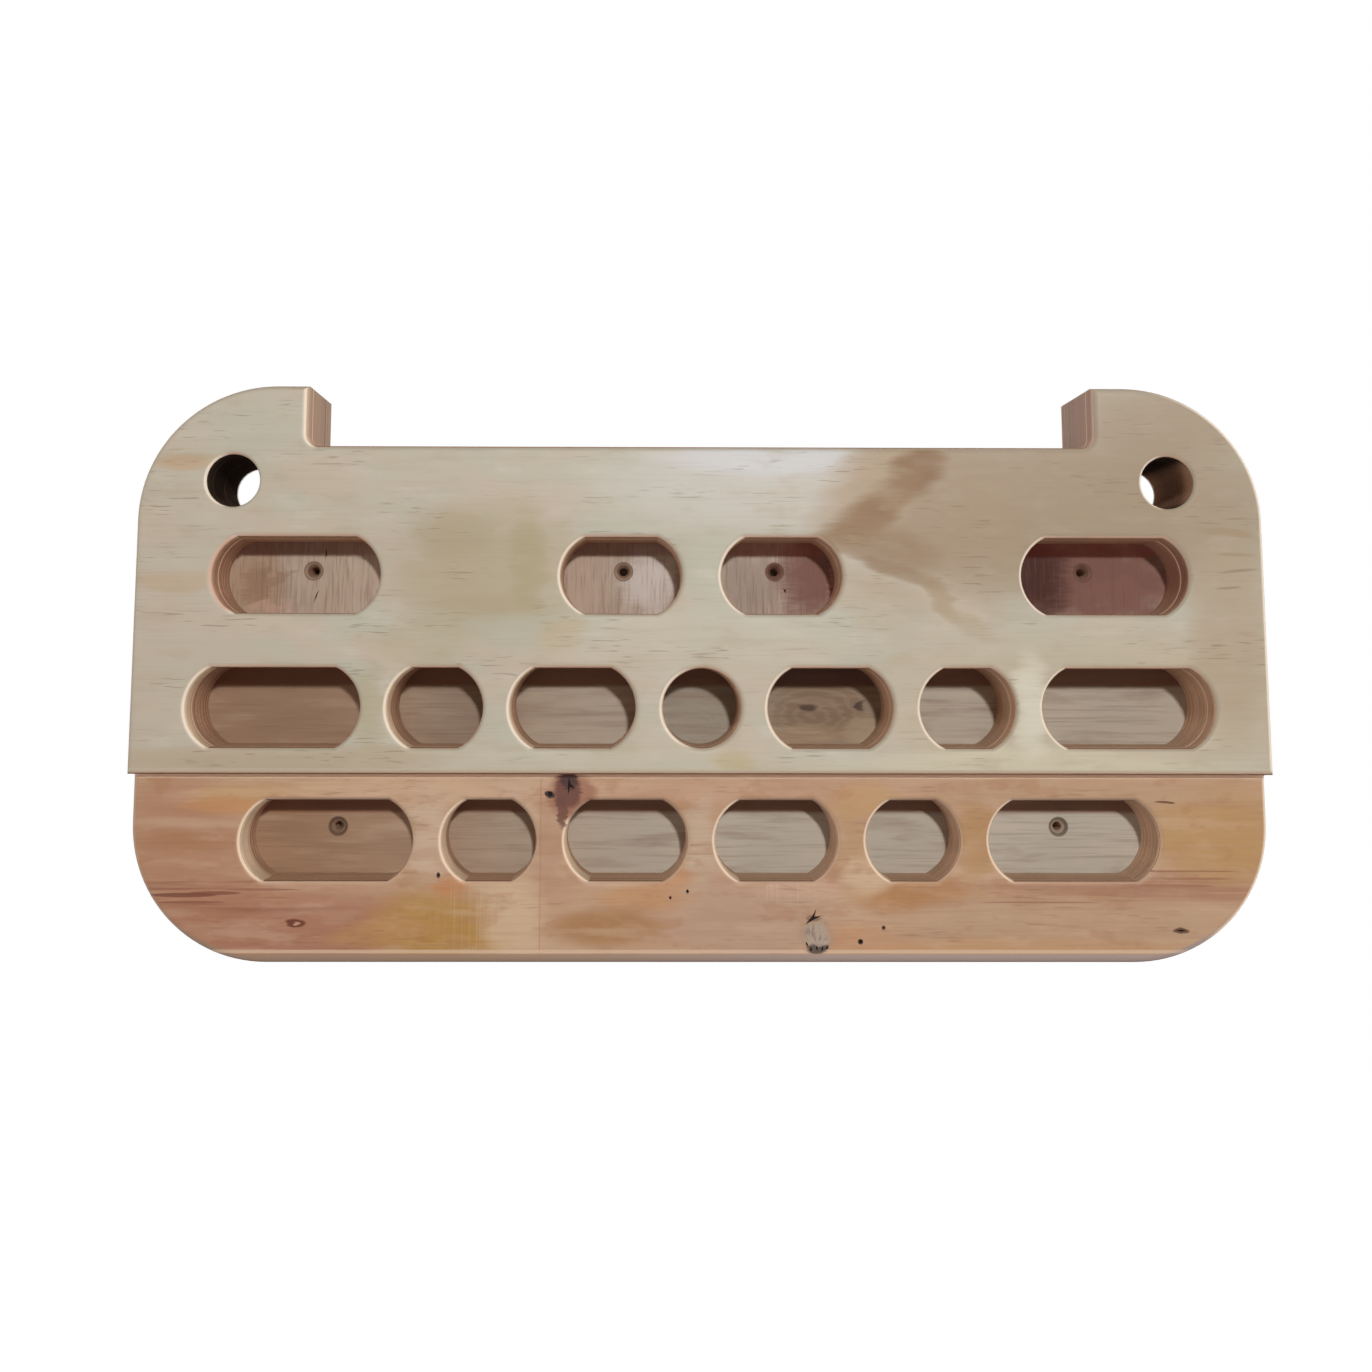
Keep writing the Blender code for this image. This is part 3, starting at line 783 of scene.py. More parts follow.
# %% List the pale face's figures
PALE_TINTS = (
    (-262, 20, 44, 90, (188, 174, 157), 0.5),         # left side, peachy
    (-235, 130, 44, 16, (188, 183, 167), 0.6),        # left horn
    (-267, 106, 17, 4, (186, 152, 116), 0.6),         # line of resin over the hang hole
    (-268, 46, 24, 5, (184, 158, 128), 0.5),
    (-215, -46, 84, 8, (174, 158, 134), 0.8),
    (-168, -18, 9, 22, (173, 164, 138), 0.7),
    (-141, 56, 26, 30, (184, 172, 156), 0.6),
    (-110, 52, 42, 32, (172, 159, 132), 0.85),        # flame between the left pockets
    (-128, 70, 18, 12, (164, 152, 122), 0.4),
    (-89, 54, 9, 26, (160, 149, 110), 0.5),
    (-100, 33, 40, 6, (166, 152, 120), 0.4),
    (-92, 19, 26, 9, (178, 175, 156), 0.8),
    (-70, 18, 12, 8, (184, 166, 132), 0.6, 0.4),
    (-140, 14, 24, 10, (178, 164, 136), 0.5),
    (-40, -46, 90, 8, (191, 183, 163), 0.6),
    (0, 12, 70, 18, (192, 186, 168), 0.5),
    (20, 96, 74, 26, (198, 196, 188), 0.7),           # sheen over the inner pockets
    (34, 110, 52, 9, (204, 205, 206), 0.85),
    (196, 82, 112, 44, (157, 139, 116), 0.92),        # heartwood on the upper right
    (126, 84, 42, 40, (160, 140, 116), 0.85, -0.5),
    (236, 128, 50, 20, (162, 145, 124), 0.85),
    (92, 96, 32, 24, (172, 150, 124), 0.75, 0.6),     # its soft left edge
    (111, 103, 14, 14, (122, 86, 48), 0.9, 0.3),      # its peach-coloured plume
    (98, 90, 20, 12, (146, 118, 89), 0.6, 0.8),
    (82, 77, 20, 10, (134, 103, 68), 0.8, 0.4),
    (96, 64, 26, 12, (146, 119, 91), 0.8, -0.2),
    (92, 38, 26, 10, (174, 158, 135), 0.65, -0.3),
    (98, 52, 26, 4.0, (141, 115, 86), 0.7, -0.37),    # its dark foot, which steps down to the right
    (122, 37, 9, 8, (158, 136, 106), 0.6, -1.0),
    (136, 23, 15, 5, (168, 152, 124), 0.5, -0.5),
    (86, 30, 22, 10, (182, 172, 152), 0.7, -0.6),
    (196, -20, 100, 38, (185, 173, 150), 0.8),
    (165, -48, 100, 8, (204, 196, 172), 0.7),
    (167, -18, 9, 24, (212, 208, 190), 0.85),
    (270, 18, 20, 48, (172, 154, 131), 0.8),
    (17, -44, 9, 5, (178, 162, 112), 0.5),
    (270, 43, 6, 0.7, (134, 110, 82), 0.6),           # streaks by the right edge
    (276, 52, 9, 0.7, (138, 114, 86), 0.6),
    (272, 71, 14, 1.7, (156, 132, 102), 0.6, -0.12),
    (274, 60, 10, 0.9, (150, 126, 98), 0.5, -0.1),
)
print("pale face:", len(PALE_TINTS), "figures")


# %% Paint the pale face
def pale_face_finish(name, tints, rim_highlight_share):
    """Pale veneer with its figures, and as strongly as the share says a painted highlight on the rim above
    the step.
    """
    wood = Finish(name, 0.5)
    grain = fibres(wood)
    cloud = wood.noise((19, 20, 34), 2.0, 0.5, (2.2, 0.0, 0.4))
    haze = wood.noise((36, 20, 95), 3.0, 0.55, (8.1, 0.0, 3.0))
    colour = wood.blend(wood.between(cloud, 0.36, 0.64), paint(183, 180, 163), paint(190, 178, 160))
    colour = wood.tint(colour, wood.between(haze, 0.48, 0.28), 0.4, paint(202, 195, 182))
    wood.bend(0.020, 0.014)
    colour = wood.spots(colour, tints)
    colour = wood.tint(colour, wood.between(haze, 0.52, 0.72), 0.3, paint(170, 154, 126))
    colour = wood.tint(colour, wood.between(haze, 0.48, 0.28), 0.08, paint(202, 195, 182))
    colour = wood.tint(colour, wood.between(grain, 0.46, 0.66), 0.10, paint(146, 128, 104))
    dark = dashes(wood)
    colour = wood.tint(colour, dark, 0.45, paint(122, 102, 78))
    # painted highlight for rims that face right, and painted light and shade on the other rims
    edge_highlight = blushing(wood, paint(252, 238, 218), paint(208, 160, 138))
    colour = lit_and_shaded_edge(wood, colour, edge_highlight, paint(208, 172, 150), paint(166, 160, 142))
    # painted highlight on the front board's rounded edge above the step
    lit_rim_over_step = wood.between(wood.z, STEP_Z + 3.6 * MM, STEP_Z + 2.8 * MM)
    colour = wood.tint(colour, lit_rim_over_step, rim_highlight_share, paint(204, 196, 174))
    return wood.finish(colour, wood.minus(grain, wood.times(dark, 0.4)))


pale_face = pale_face_finish("pale_face", PALE_TINTS, 0.5)
wall_face = pale_face_finish("wall_face", (), 0.0)
print("nodes in the pale face:", len(pale_face.node_tree.nodes))

# %% [markdown]
# ## The lip's ruddy face
# The middle board's veneer is heartwood: peach and red, with resin stains, two sheets joined by an
# edge left of the middle, and knots. A knot is a branch cut through, so the wood round it darkens.
# Its edges are feathered less than those of the broad figures. The finest marks aren't feathered at
# all: pin holes, which are also cut into the sheet, and straight lines of resin.

# %% List the lip's figures
LIP_TINTS = (
    (-262, -98, 40, 46, (168, 126, 98), 0.9),    # heartwood at the left end
    (-207, -133, 74, 23, (158, 107, 84), 0.85),
    (-262, -62, 18, 6, (176, 136, 110), 0.7),
    (-222, -62, 34, 6, (192, 158, 117), 0.8),
    (-238, -67, 22, 4, (186, 134, 88), 0.7),
    (-258, -77, 30, 3, (184, 152, 126), 0.75),
    (-262, -88, 24, 5, (160, 116, 84), 0.6),
    (-150, -61, 64, 7, (198, 166, 138), 0.85),
    (-139, -86, 10, 24, (195, 172, 148), 0.85),
    (-132, -132, 34, 18, (168, 128, 62), 0.9),   # resin-stained wood left of the joint
    (-160, -132, 26, 6, (176, 134, 88), 0.7),
    (-126, -110, 9, 6, (184, 126, 82), 0.8),
    (-97, -122, 15, 22, (198, 170, 140), 0.9),
    (-96, -70, 12, 16, (194, 166, 142), 0.7),
    (-77, -88, 8, 22, (174, 140, 115), 0.8),
    (-48, -129, 26, 10, (154, 112, 66), 0.85),   # stains right of it
    (-28, -114, 24, 6, (182, 136, 90), 0.75),
    (-18, -104, 14, 5, (190, 140, 96), 0.6),
    (-6, -62, 66, 6, (190, 156, 130), 0.7),
    (0, -88, 8, 22, (190, 171, 147), 0.85),
    (24, -126, 40, 21, (178, 149, 127), 0.85),
    (46, -110, 22, 5, (196, 164, 140), 0.6),
    (77, -88, 8, 22, (176, 144, 108), 0.9),
    (82, -63, 18, 8, (186, 150, 104), 0.8),
    (106, -113, 30, 8, (166, 121, 72), 0.9),
    (84, -103, 12, 9, (206, 180, 150), 0.8),
    (140, -88, 10, 26, (172, 136, 92), 0.9),
    (84, -134, 26, 8, (186, 138, 100), 0.7),
    (262, -82, 36, 24, (176, 140, 90), 0.9),     # the right end
    (200, -62, 76, 7, (180, 150, 120), 0.8),
    (215, -112, 76, 6, (170, 130, 102), 0.8),
    (180, -130, 84, 15, (175, 147, 119), 0.8),
    (160, -139, 90, 4, (186, 144, 100), 0.6),
)
print("lip:", len(LIP_TINTS), "figures")

# %% List its knots and fine marks
KNOTS = (
    (-66, -64, 12, 12, (148, 98, 76), 0.8),           # the knot under the step
    (-68, -61, 7, 9, (100, 60, 50), 0.95),
    (-67, -56, 4.5, 4.5, (62, 34, 30), 0.95),
    (-71, -72, 2.8, 8, (96, 60, 48), 0.85),
    (-77, -62.7, 2.2, 2.2, (40, 22, 18), 1.0),
    (58.3, -133.6, 8.5, 9, (158, 134, 112), 0.5),     # the grey knot and its crack
    (58.3, -133.4, 6.4, 6.6, (168, 152, 136), 0.8),
    (58.3, -139.6, 5.6, 2.6, (64, 52, 46), 0.9),
    (59.5, -136.6, 3.2, 1.6, (172, 156, 142), 0.7),
    (56.6, -124.6, 3.4, 1.8, (96, 72, 58), 0.6),
    (-204.6, -127, 4.8, 2.1, (98, 48, 34), 0.95),     # small eyes near both ends
    (-204.2, -127.2, 1.5, 0.9, (190, 150, 124), 0.8),
    (242.8, -130.7, 3.6, 1.2, (84, 52, 36), 0.9),
    (237, -66.4, 5.2, 0.7, (96, 58, 38), 0.9),
)
FINE_MARKS = (
    (-133.3, -103.4, 1.0, 1.5, (60, 36, 26), 0.9), (80.3, -136.2, 1.4, 1.4, (50, 32, 24), 0.9),
    (92.1, -129.3, 1.1, 1.3, (108, 74, 54), 0.8), (-7.1, -111.4, 0.8, 1.1, (96, 66, 48), 0.8),
    (-15.8, -114.5, 0.8, 1.0, (126, 76, 56), 0.8),
    (-262, -113.3, 17, 1.1, (104, 56, 40), 0.8), (-246, -112.3, 13, 0.9, (112, 64, 46), 0.75),
    (-222, -110.6, 19, 0.5, (134, 84, 62), 0.65), (-258, -116.8, 17, 0.6, (122, 72, 54), 0.7),
    (241, -101.2, 32, 0.5, (132, 82, 58), 0.6), (236, -108.4, 24, 0.8, (138, 90, 66), 0.6),
    (252, -105.0, 18, 0.4, (138, 90, 66), 0.6), (172, -116.7, 30, 0.5, (142, 96, 72), 0.6),
)
print(len(KNOTS), "parts of knots,", len(FINE_MARKS), "fine marks")

# %% Paint the lip's broad figure
JOINT_X = -81.8 * MM


def lip_figure(wood, grain):
    """Everything on the lip that is broader than a knot, and the joint between its two sheets."""
    cloud = wood.noise((20, 20, 40), 2.0, 0.5, (0.7, 0.0, 3.4))
    haze = wood.noise((26, 20, 110), 3.0, 0.55, (8.1, 0.0, 3.0))
    blotch = wood.noise((40, 20, 85), 3.0, 0.6, (4.4, 0.0, 7.0))
    colour = wood.blend(wood.between(cloud, 0.36, 0.64), paint(188, 158, 130), paint(182, 148, 120))
    wood.bend(0.022, 0.014)
    colour = wood.spots(colour, LIP_TINTS)
    for mask, share, shade in (
            (wood.between(haze, 0.52, 0.72), 0.3, paint(158, 114, 84)),
            (wood.between(haze, 0.48, 0.28), 0.3, paint(202, 174, 148)),
            (wood.between(blotch, 0.54, 0.70), 0.2, paint(196, 166, 136)),
            (wood.between(blotch, 0.46, 0.34), 0.35, paint(160, 114, 76)),
            (wood.between(wood.x, JOINT_X - 0.2 * MM, JOINT_X + 0.2 * MM), 0.10, paint(176, 124, 98))):
        colour = wood.tint(colour, mask, share, shade)
    from_joint = wood.math("ABSOLUTE", wood.minus(wood.x, JOINT_X))
    colour = wood.tint(colour, wood.between(from_joint, 0.5 * MM, 0.2 * MM), 0.35, paint(150, 108, 84))
    sanded = wood.between(wood.noise((1300, 100, 16), 2.0, 0.5), 0.5, 0.66)
    scratched = wood.plus(wood.spot(-117, -124, 16, 18), wood.spot(44, -113, 14, 6))
    colour = wood.tint(colour, wood.times(sanded, scratched), 0.2, paint(212, 188, 152))
    colour = wood.tint(colour, wood.between(grain, 0.46, 0.66), 0.14, paint(136, 92, 66))
    streaks = wood.between(wood.noise((11, 60, 330), 2.0, 0.5, (9.0, 0.0, 1.0)), 0.47, 0.60)
    both_ends = wood.plus(wood.spot(-225, -113, 62, 8), wood.times(wood.spot(215, -110, 74, 9), 0.4))
    colour = wood.tint(colour, wood.times(streaks, both_ends), 0.7, paint(122, 70, 52))
    return wood.tint(colour, dashes(wood, 0.5, 0.62), 0.3, paint(128, 84, 60))


# %% [markdown]
# ## The lip's edges
# Under the step lies a strip of painted light, where the front board's shadow falls. The lower edge is
# rounded through the veneer, with a painted highlight line above it and a greyer band of painted shade on the
# rounding.

# %% Paint the lip's edges
def lip_edges(wood, colour):
    """Painted light and shade: on the rounded edges, in a strip under the step, and along the bottom."""
    # painted light and shade on the rounded edges
    colour = lit_and_shaded_edge(wood, colour, paint(250, 224, 196), paint(160, 132, 116), paint(206, 176, 150))
    # painted light in the strip under the step, where the front board's shadow falls
    lit_strip_under_step = wood.between(wood.z, STEP_Z - 2.8 * MM, STEP_Z - 1.7 * MM)
    colour = wood.tint(colour, lit_strip_under_step, 0.9, paint(250, 214, 184))
    # painted shade: a greyer band on and just above the bottom's rounding
    behind = wood.between(wood.minus(wood.y, MIDDLE_BOARD - THICKNESS), 0.01 * MM, 0.08 * MM)
    low = wood.between(wood.z, BOTTOM_Z + 19 * MM, BOTTOM_Z + 9 * MM)
    shaded_band = wood.between(wood.z, BOTTOM_Z + 4.9 * MM, BOTTOM_Z + 4.5 * MM)
    rim = wood.blend(wood.between(wood.x, -0.1, 0.1), paint(152, 127, 107), paint(160, 144, 138))
    colour = wood.tint(colour, wood.math("MAXIMUM", shaded_band, wood.times(low, behind)), 0.9, rim)
    # painted highlight line just above the bottom's rounding
    glint = wood.times(
        wood.between(wood.z, BOTTOM_Z + 7.1 * MM, BOTTOM_Z + 6.5 * MM),
        wood.between(wood.z, BOTTOM_Z + 4.8 * MM, BOTTOM_Z + 5.3 * MM))
    return wood.tint(colour, glint, 0.7, paint(212, 184, 158))


# %% Finish the lip
def lip_finish():
    """Ruddy veneer with its edges, knots and fine marks."""
    wood = Finish("ruddy_face", 0.48)
    grain = fibres(wood, 0.8)
    colour = lip_edges(wood, lip_figure(wood, grain))
    wood.bend(0.006, 0.004, 5.0)
    colour = wood.spots(colour, KNOTS, 0.45)
    flakes = wood.between(wood.noise((700, 60, 240), 3.0, 0.6), 0.5, 0.62)
    bark = wood.times(flakes, wood.spot(58.3, -132.5, 6, 7))
    colour = wood.tint(colour, bark, 0.55, paint(112, 94, 84))
    wood.straighten()
    colour = wood.spots(colour, FINE_MARKS, 0.3)
    return wood.finish(shaded_bores(wood, colour), grain)


ruddy_face = lip_finish()
print("nodes in the lip's face:", len(ruddy_face.node_tree.nodes))

# %% [markdown]
# ## The deep pockets' floors
# The deep pockets end on the back board's veneer, with fine level lines, browner towards the left.
# One of them shows two knots, and growth rings bend round them and in the one-finger hole. Rings are a
# sine of the distance from a point. A band of painted shadow lies under each row's upper edge.

# %% List their figures
FLOOR_TINTS = (
    (0, -19, 26, 26, (146, 138, 124), 0.8), (66, -19, 34, 26, (124, 100, 76), 0.95),
    (-122, -19, 26, 26, (136, 118, 102), 0.5), (56, -34, 26, 5, (160, 134, 106), 0.6),
    (88, -32, 10, 8, (168, 148, 120), 0.7),
)
FLOOR_KNOTS = (
    (59, -19.6, 5, 1.7, (68, 46, 34), 0.92), (87, -18.8, 2.8, 2.6, (68, 46, 34), 0.92),
)
FLOOR_RINGS = (  # the rings' centre, flatness and pitch, and the ellipse in which they show
    (-5, -44, 1.0, 3.1, (0, -19, 24, 24)), (60, -24, 1.7, 7.0, (62, -22, 30, 16)),
)
ROW_PITCH = 66.5 * MM
print("deep floors:", len(FLOOR_TINTS), "figures,", len(FLOOR_KNOTS), "knots")


# %% Paint the deep floors
def rings(wood, x, z, flat, pitch):
    """Growth rings round a point, flattened by a factor."""
    sideways = wood.minus(wood.along, x * MM)
    upright = wood.times(wood.minus(wood.upward, z * MM), flat)
    square = wood.plus(wood.times(sideways, sideways), wood.times(upright, upright))
    turns = wood.times(wood.math("SQRT", square), 2 * math.pi / (pitch * MM))
    return wood.between(wood.math("SINE", turns), -0.2, 0.9)


def deep_floor_finish():
    """Brown veneer with level lines, rings, knots and the painted shadow bands."""
    wood = Finish("deep_floor", 0.6)
    grain = fibres(wood, 0.8)
    haze = wood.noise((22, 20, 120), 3.0, 0.55, (6.0, 0.0, 1.0))
    warm = wood.between(wood.x, 0.02, -0.22)
    lip_row = wood.between(wood.z, *IN_LIP_ROW)
    middle = wood.blend(warm, paint(178, 167, 151), paint(151, 122, 98))
    lower = wood.blend(warm, paint(182, 174, 160), paint(158, 124, 96))
    colour = wood.blend(lip_row, middle, lower)
    wood.bend(0.016, 0.006, 2.0)
    colour = wood.spots(colour, FLOOR_TINTS)
    for x, z, flat, pitch, place in FLOOR_RINGS:
        swirl = wood.times(rings(wood, x, z, flat, pitch), wood.spot(*place, 0.3))
        colour = wood.tint(colour, swirl, 0.15, paint(180, 160, 132))
    colour = wood.tint(colour, wood.between(haze, 0.5, 0.7), 0.35, paint(130, 104, 82))
    colour = wood.tint(colour, wood.between(haze, 0.48, 0.3), 0.18, paint(206, 186, 160))
    colour = wood.tint(colour, wood.between(grain, 0.47, 0.66), 0.3, paint(112, 86, 66))
    # painted shadow under each row's upper edge, darker in the middle row's pocket right of the middle
    height = wood.plus(wood.plus(wood.z, 8 * MM), wood.times(lip_row, ROW_PITCH))
    shadow_band = wood.times(wood.between(height, -2 * MM, MM), wood.between(height, 12 * MM, 10 * MM))
    shadow_colour = wood.blend(wood.spot(66, -2, 36, 14), paint(112, 66, 42), paint(74, 34, 20))
    colour = wood.tint(colour, shadow_band, 0.85, shadow_colour)
    colour = wood.spots(colour, FLOOR_KNOTS, 0.7)
    colour = dark_seat_rims(wood, colour, lip_seats)
    return wood.finish(shaded_bores(wood, colour), grain)


deep_floor = deep_floor_finish()
print("nodes in the deep floors:", len(deep_floor.node_tree.nodes))

# %% [markdown]
# ## The shallow pockets' floors
# The shallow ones end on a cross-laid ply that the router has torn, so its fibres stand upright and
# its bumps are deeper. They grow ruddier towards the right.

# %% List their figures
TORN_TINTS = (
    (-238, 46, 18, 22, (164, 136, 110), 0.8), (-190, 48, 24, 18, (186, 166, 146), 0.5),
    (-236, 44, 7, 9, (138, 108, 84), 0.6), (-226, 50, 10, 3, (142, 112, 90), 0.5),
    (-228, 33, 12, 3, (196, 160, 142), 0.6), (-62, 46, 14, 20, (182, 158, 140), 0.6),
    (-26, 46, 14, 18, (207, 198, 191), 0.85), (26, 44, 14, 18, (160, 144, 132), 0.75),
    (62, 50, 18, 20, (126, 86, 77), 0.95), (214, 48, 52, 24, (122, 83, 73), 0.98),
    (177, 50, 19, 28, (60, 22, 9), 0.97), (224, 40, 22, 8, (134, 94, 82), 0.5),
    # the next two rows are painted light, easing the shadow at two pockets' right ends
    (74, 51, 4, 18, (190, 134, 122), 0.5), (257, 51, 6, 18, (184, 130, 118), 0.5),
)
print("torn floors:", len(TORN_TINTS), "figures")


# %% Paint the torn floors
def torn_floor_finish():
    """Torn cross-laid wood, with painted shadow under the upper edge."""
    wood = Finish("torn_floor", 0.7)
    fine = wood.noise((1100, 300, 55), 2.0, 0.55)
    tear = wood.noise((260, 100, 50), 3.0, 0.6, (3.0, 0.0, 9.0))
    colour = wood.blend(wood.between(tear, 0.35, 0.65), paint(182, 165, 150), paint(168, 148, 131))
    wood.bend(0.012, 0.030, 5.0)
    colour = wood.spots(colour, TORN_TINTS)
    colour = wood.tint(colour, wood.between(fine, 0.5, 0.7), 0.35, paint(110, 78, 62))
    colour = wood.tint(colour, wood.between(tear, 0.62, 0.78), 0.5, paint(104, 76, 60))
    # painted shadow under the upper edge, ruddier on the right
    shadow_colour = wood.blend(wood.between(wood.x, 0.0, 0.02), paint(130, 70, 62), paint(170, 84, 76))
    shadow_band = wood.between(wood.z, TOP_ROW_Z + 11.1 * MM, TOP_ROW_Z + 14.1 * MM)
    colour = wood.tint(colour, shadow_band, 0.45, shadow_colour)
    colour = dark_seat_rims(wood, colour, top_seats)
    return wood.finish(colour, wood.plus(fine, tear), 0.0002)


torn_floor = torn_floor_finish()
print("nodes in the torn floors:", len(torn_floor.node_tree.nodes))

# %% [markdown]
# ## Ply edges
# A ply whose fibres run along the cut surface looks smooth and light. One whose fibres run into it
# shows open end grain, which drinks the light. Which of the two shows depends on which way the wall
# faces, so the finish compares the surface's direction with that of its fibres.

# %% Paint the plies' wood
def ply_wood(wood, fibre_axis, side_grain, end_grain, fleck):
    """Side grain or end grain, in slightly different layers."""
    open_grain = wood.between(wood.math("ABSOLUTE", wood.facing[fibre_axis]), 0.25, 0.85)
    layer = wood.noise((0.8, 330, 0.8), 1.0, 0.5, (5.0, 0.0, 3.0))
    colour = wood.blend(open_grain, side_grain, end_grain)
    colour = wood.tint(colour, wood.between(layer, 0.4, 0.62), 0.45, paint(216, 180, 150))
    return wood.tint(colour, wood.between(fleck, 0.48, 0.7), 0.45, paint(112, 74, 56))


# %% [markdown]
# ## Painted light on the pocket walls
# Walls that face down get painted shade, least in the top row. The rounded mouths' left ends near the
# face get painted light, and walls that face left a little painted light. The horns' inner walls are
# light, and the top row's end walls ruddy, most of all at the far right.

# %% Mark the pocket walls
def wall_light_and_tones(wood, colour, top_row, lip_row):
    """Painted shade on walls that face down, painted light on the mouths' left ends and on walls that face
    left, and the tones of single walls.
    """
    # painted shade on walls that face down, least in the top row
    facing_down = wood.between(wood.facing["Z"], -0.35, -0.9)
    colour = wood.tint(
        colour, facing_down, wood.minus(0.5, wood.times(top_row, 0.4)), paint(104, 62, 46))
    # painted light on the mouths' left ends, near the face
    row_shift = wood.plus(wood.times(lip_row, -14 * MM), wood.times(top_row, 4 * MM))
    near_mouth = wood.between(wood.plus(wood.y, row_shift), -36 * MM, -43 * MM)
    lit_left_ends = wood.times(wood.between(wood.facing["X"], 0.1, 0.6), near_mouth)
    colour = wood.tint(colour, lit_left_ends, 0.75, blushing(wood, paint(250, 230, 198), paint(204, 152, 128)))
    # painted light on walls that face left
    colour = wood.tint(colour, wood.between(wood.facing["X"], -0.1, -0.6), 0.35, paint(236, 200, 170))
    sideways = wood.math("ABSOLUTE", wood.facing["X"])
    inside = wood.between(wood.math("ABSOLUTE", wood.x), HORN_X + 21.5 * MM, HORN_X + 11.5 * MM)
    horns_only = wood.times(wood.between(wood.z, 108 * MM, 112 * MM), inside)
    pine = wood.blend(wood.between(wood.x, -0.1, 0.1), paint(238, 208, 178), paint(240, 214, 202))
    colour = wood.tint(colour, wood.times(horns_only, sideways), 0.5, pine)
    ruddy = wood.plus(0.25, wood.times(wood.between(wood.x, 225 * MM, 235 * MM), 0.4))
    return wood.tint(colour, wood.times(top_row, sideways), ruddy, paint(116, 60, 50))


# %% Shade the screws' seats
def screw_seats(wood, colour, top_row, lip_row):
    """The countersinks' slopes, lighter or darker by row and side, with a ring of painted shade low in them.
    """
    right = wood.between(wood.x, 0.0, 0.03)
    shade = wood.blend(
        top_row, wood.blend(right, paint(168, 140, 116), paint(224, 208, 186)),
        wood.blend(right, paint(156, 132, 112), paint(118, 80, 68)))
    top_seat_y = SHALLOW_FLOOR - THICKNESS
    seat_y = wood.plus(top_seat_y, wood.times(lip_row, DEEP_FLOOR - SHALLOW_FLOOR))
    # painted shade in a ring low in each countersink
    shaded_ring = wood.between(wood.minus(wood.y, seat_y), MM, 1.5 * MM)
    shade = wood.tint(shade, shaded_ring, 0.6, paint(62, 44, 36))
    slopes = wood.times(
        wood.between(wood.facing["Y"], -0.3, -0.5), wood.between(wood.y, top_seat_y - MM, top_seat_y))
    return wood.tint(colour, slopes, 0.85, shade)


# %% Finish the plies
def ply_finish(name, fibre_axis, side_grain, end_grain, stretch):
    """A ply's cut edge, with painted light and shade on its walls and in the hang holes, and the screws'
    seats.
    """
    wood = Finish(name, 0.62)
    fleck = wood.noise(stretch, 3.0, 0.6)
    top_row, lip_row = wood.between(wood.z, *IN_TOP_ROW), wood.between(wood.z, *IN_LIP_ROW)
    colour = ply_wood(wood, fibre_axis, side_grain, end_grain, fleck)
    colour = wall_light_and_tones(wood, colour, top_row, lip_row)
    colour = shaded_bores(wood, colour)
    # painted shade on walls that face up
    colour = wood.tint(colour, wood.between(wood.facing["Z"], 0.4, 0.9), 0.35, paint(116, 102, 78))
    return wood.finish(screw_seats(wood, colour, top_row, lip_row), fleck, 0.00012)


grain_along = ply_finish("grain_along", "X", paint(214, 172, 138), paint(162, 122, 98), (26, 900, 700))
grain_across = ply_finish("grain_across", "Z", paint(198, 156, 126), paint(150, 110, 88), (700, 900, 26))
print("nodes in each ply finish:", len(grain_along.node_tree.nodes))

# %% [markdown]
# ## Glue
# A glue line is dark and mottled. Where it lies bare and faces forward, at the bottom of cracks and pin
# holes, it gets painted shade and is nearly black.

# %% Paint the glue
def glue_finish():
    """Brittle brown glue."""
    glue = Finish("glue_line", 0.8)
    mottle = glue.noise((180, 400, 180), 2.0, 0.5)
    colour = glue.blend(mottle, paint(70, 42, 32), paint(112, 78, 60))
    # painted shade, nearly black, where the glue faces forward at the bottom of cut marks
    shaded_forward_glue = glue.between(glue.facing["Y"], -0.5, -0.9)
    return glue.finish(shaded_bores(glue, glue.tint(colour, shaded_forward_glue, 0.95, paint(24, 16, 14))))


glue_line = glue_finish()
print("nodes in the glue:", len(glue_line.node_tree.nodes))

# %% [markdown]
# ## The front board
# Nine millimetres thick: a pale face veneer, three plies, and a back veneer that is glued to the
# middle board. All its edges and pocket mouths are rounded, so the router has cut through the veneer
# and the first plies there, and their edges show as fine lines round every mouth.

# %% Make the front board
core_finishes = (grain_across, grain_along, glue_line)
veneer_finishes = (grain_along, grain_along, glue_line)
front_contours = [front_edge] + top_pockets + middle_pockets + hang_holes


def front_rings(near, far):
    return stations(near, far, 0.0, FRONT_ROUND)


front_face_veneer = veneer(
    "front_face_veneer", front_contours, front_rings(0.0, VENEER - GLUE / 2), pale_face)
front_plies = stack(
    "front_plies", front_contours, ply_edges(VENEER, PLY_PITCH, 3), front_rings, core_finishes)
front_back_veneer = stack(
    "front_back_veneer", front_contours, (MIDDLE_BOARD - VENEER, MIDDLE_BOARD - GLUE / 2), front_rings,
    veneer_finishes)

# %% [markdown]
# ## The middle board
# Twenty-four millimetres thick. Its face veneer shows only on the lip. The shallow pockets of the top
# row end inside it, on a cross-laid ply, so their floors have upright grain. The lip's cracks, flakes
# of bark and pin holes are cut through the face veneer, in millimetres like the paint's tables.

# %% List the middle board's contours
middle_front_contours = [middle_edge] + top_pockets + middle_pockets + lip_pockets + hang_holes
middle_rear_contours = [middle_edge] + middle_pockets + lip_pockets + hang_holes + top_screws


def lip_rings(near, far):
    return stations(near, far, MIDDLE_BOARD, LIP_ROUND)


def plain_rings(near, far):
    return [near, far]


print("middle board:", len(middle_front_contours), "contours in front,", len(middle_rear_contours), "behind")

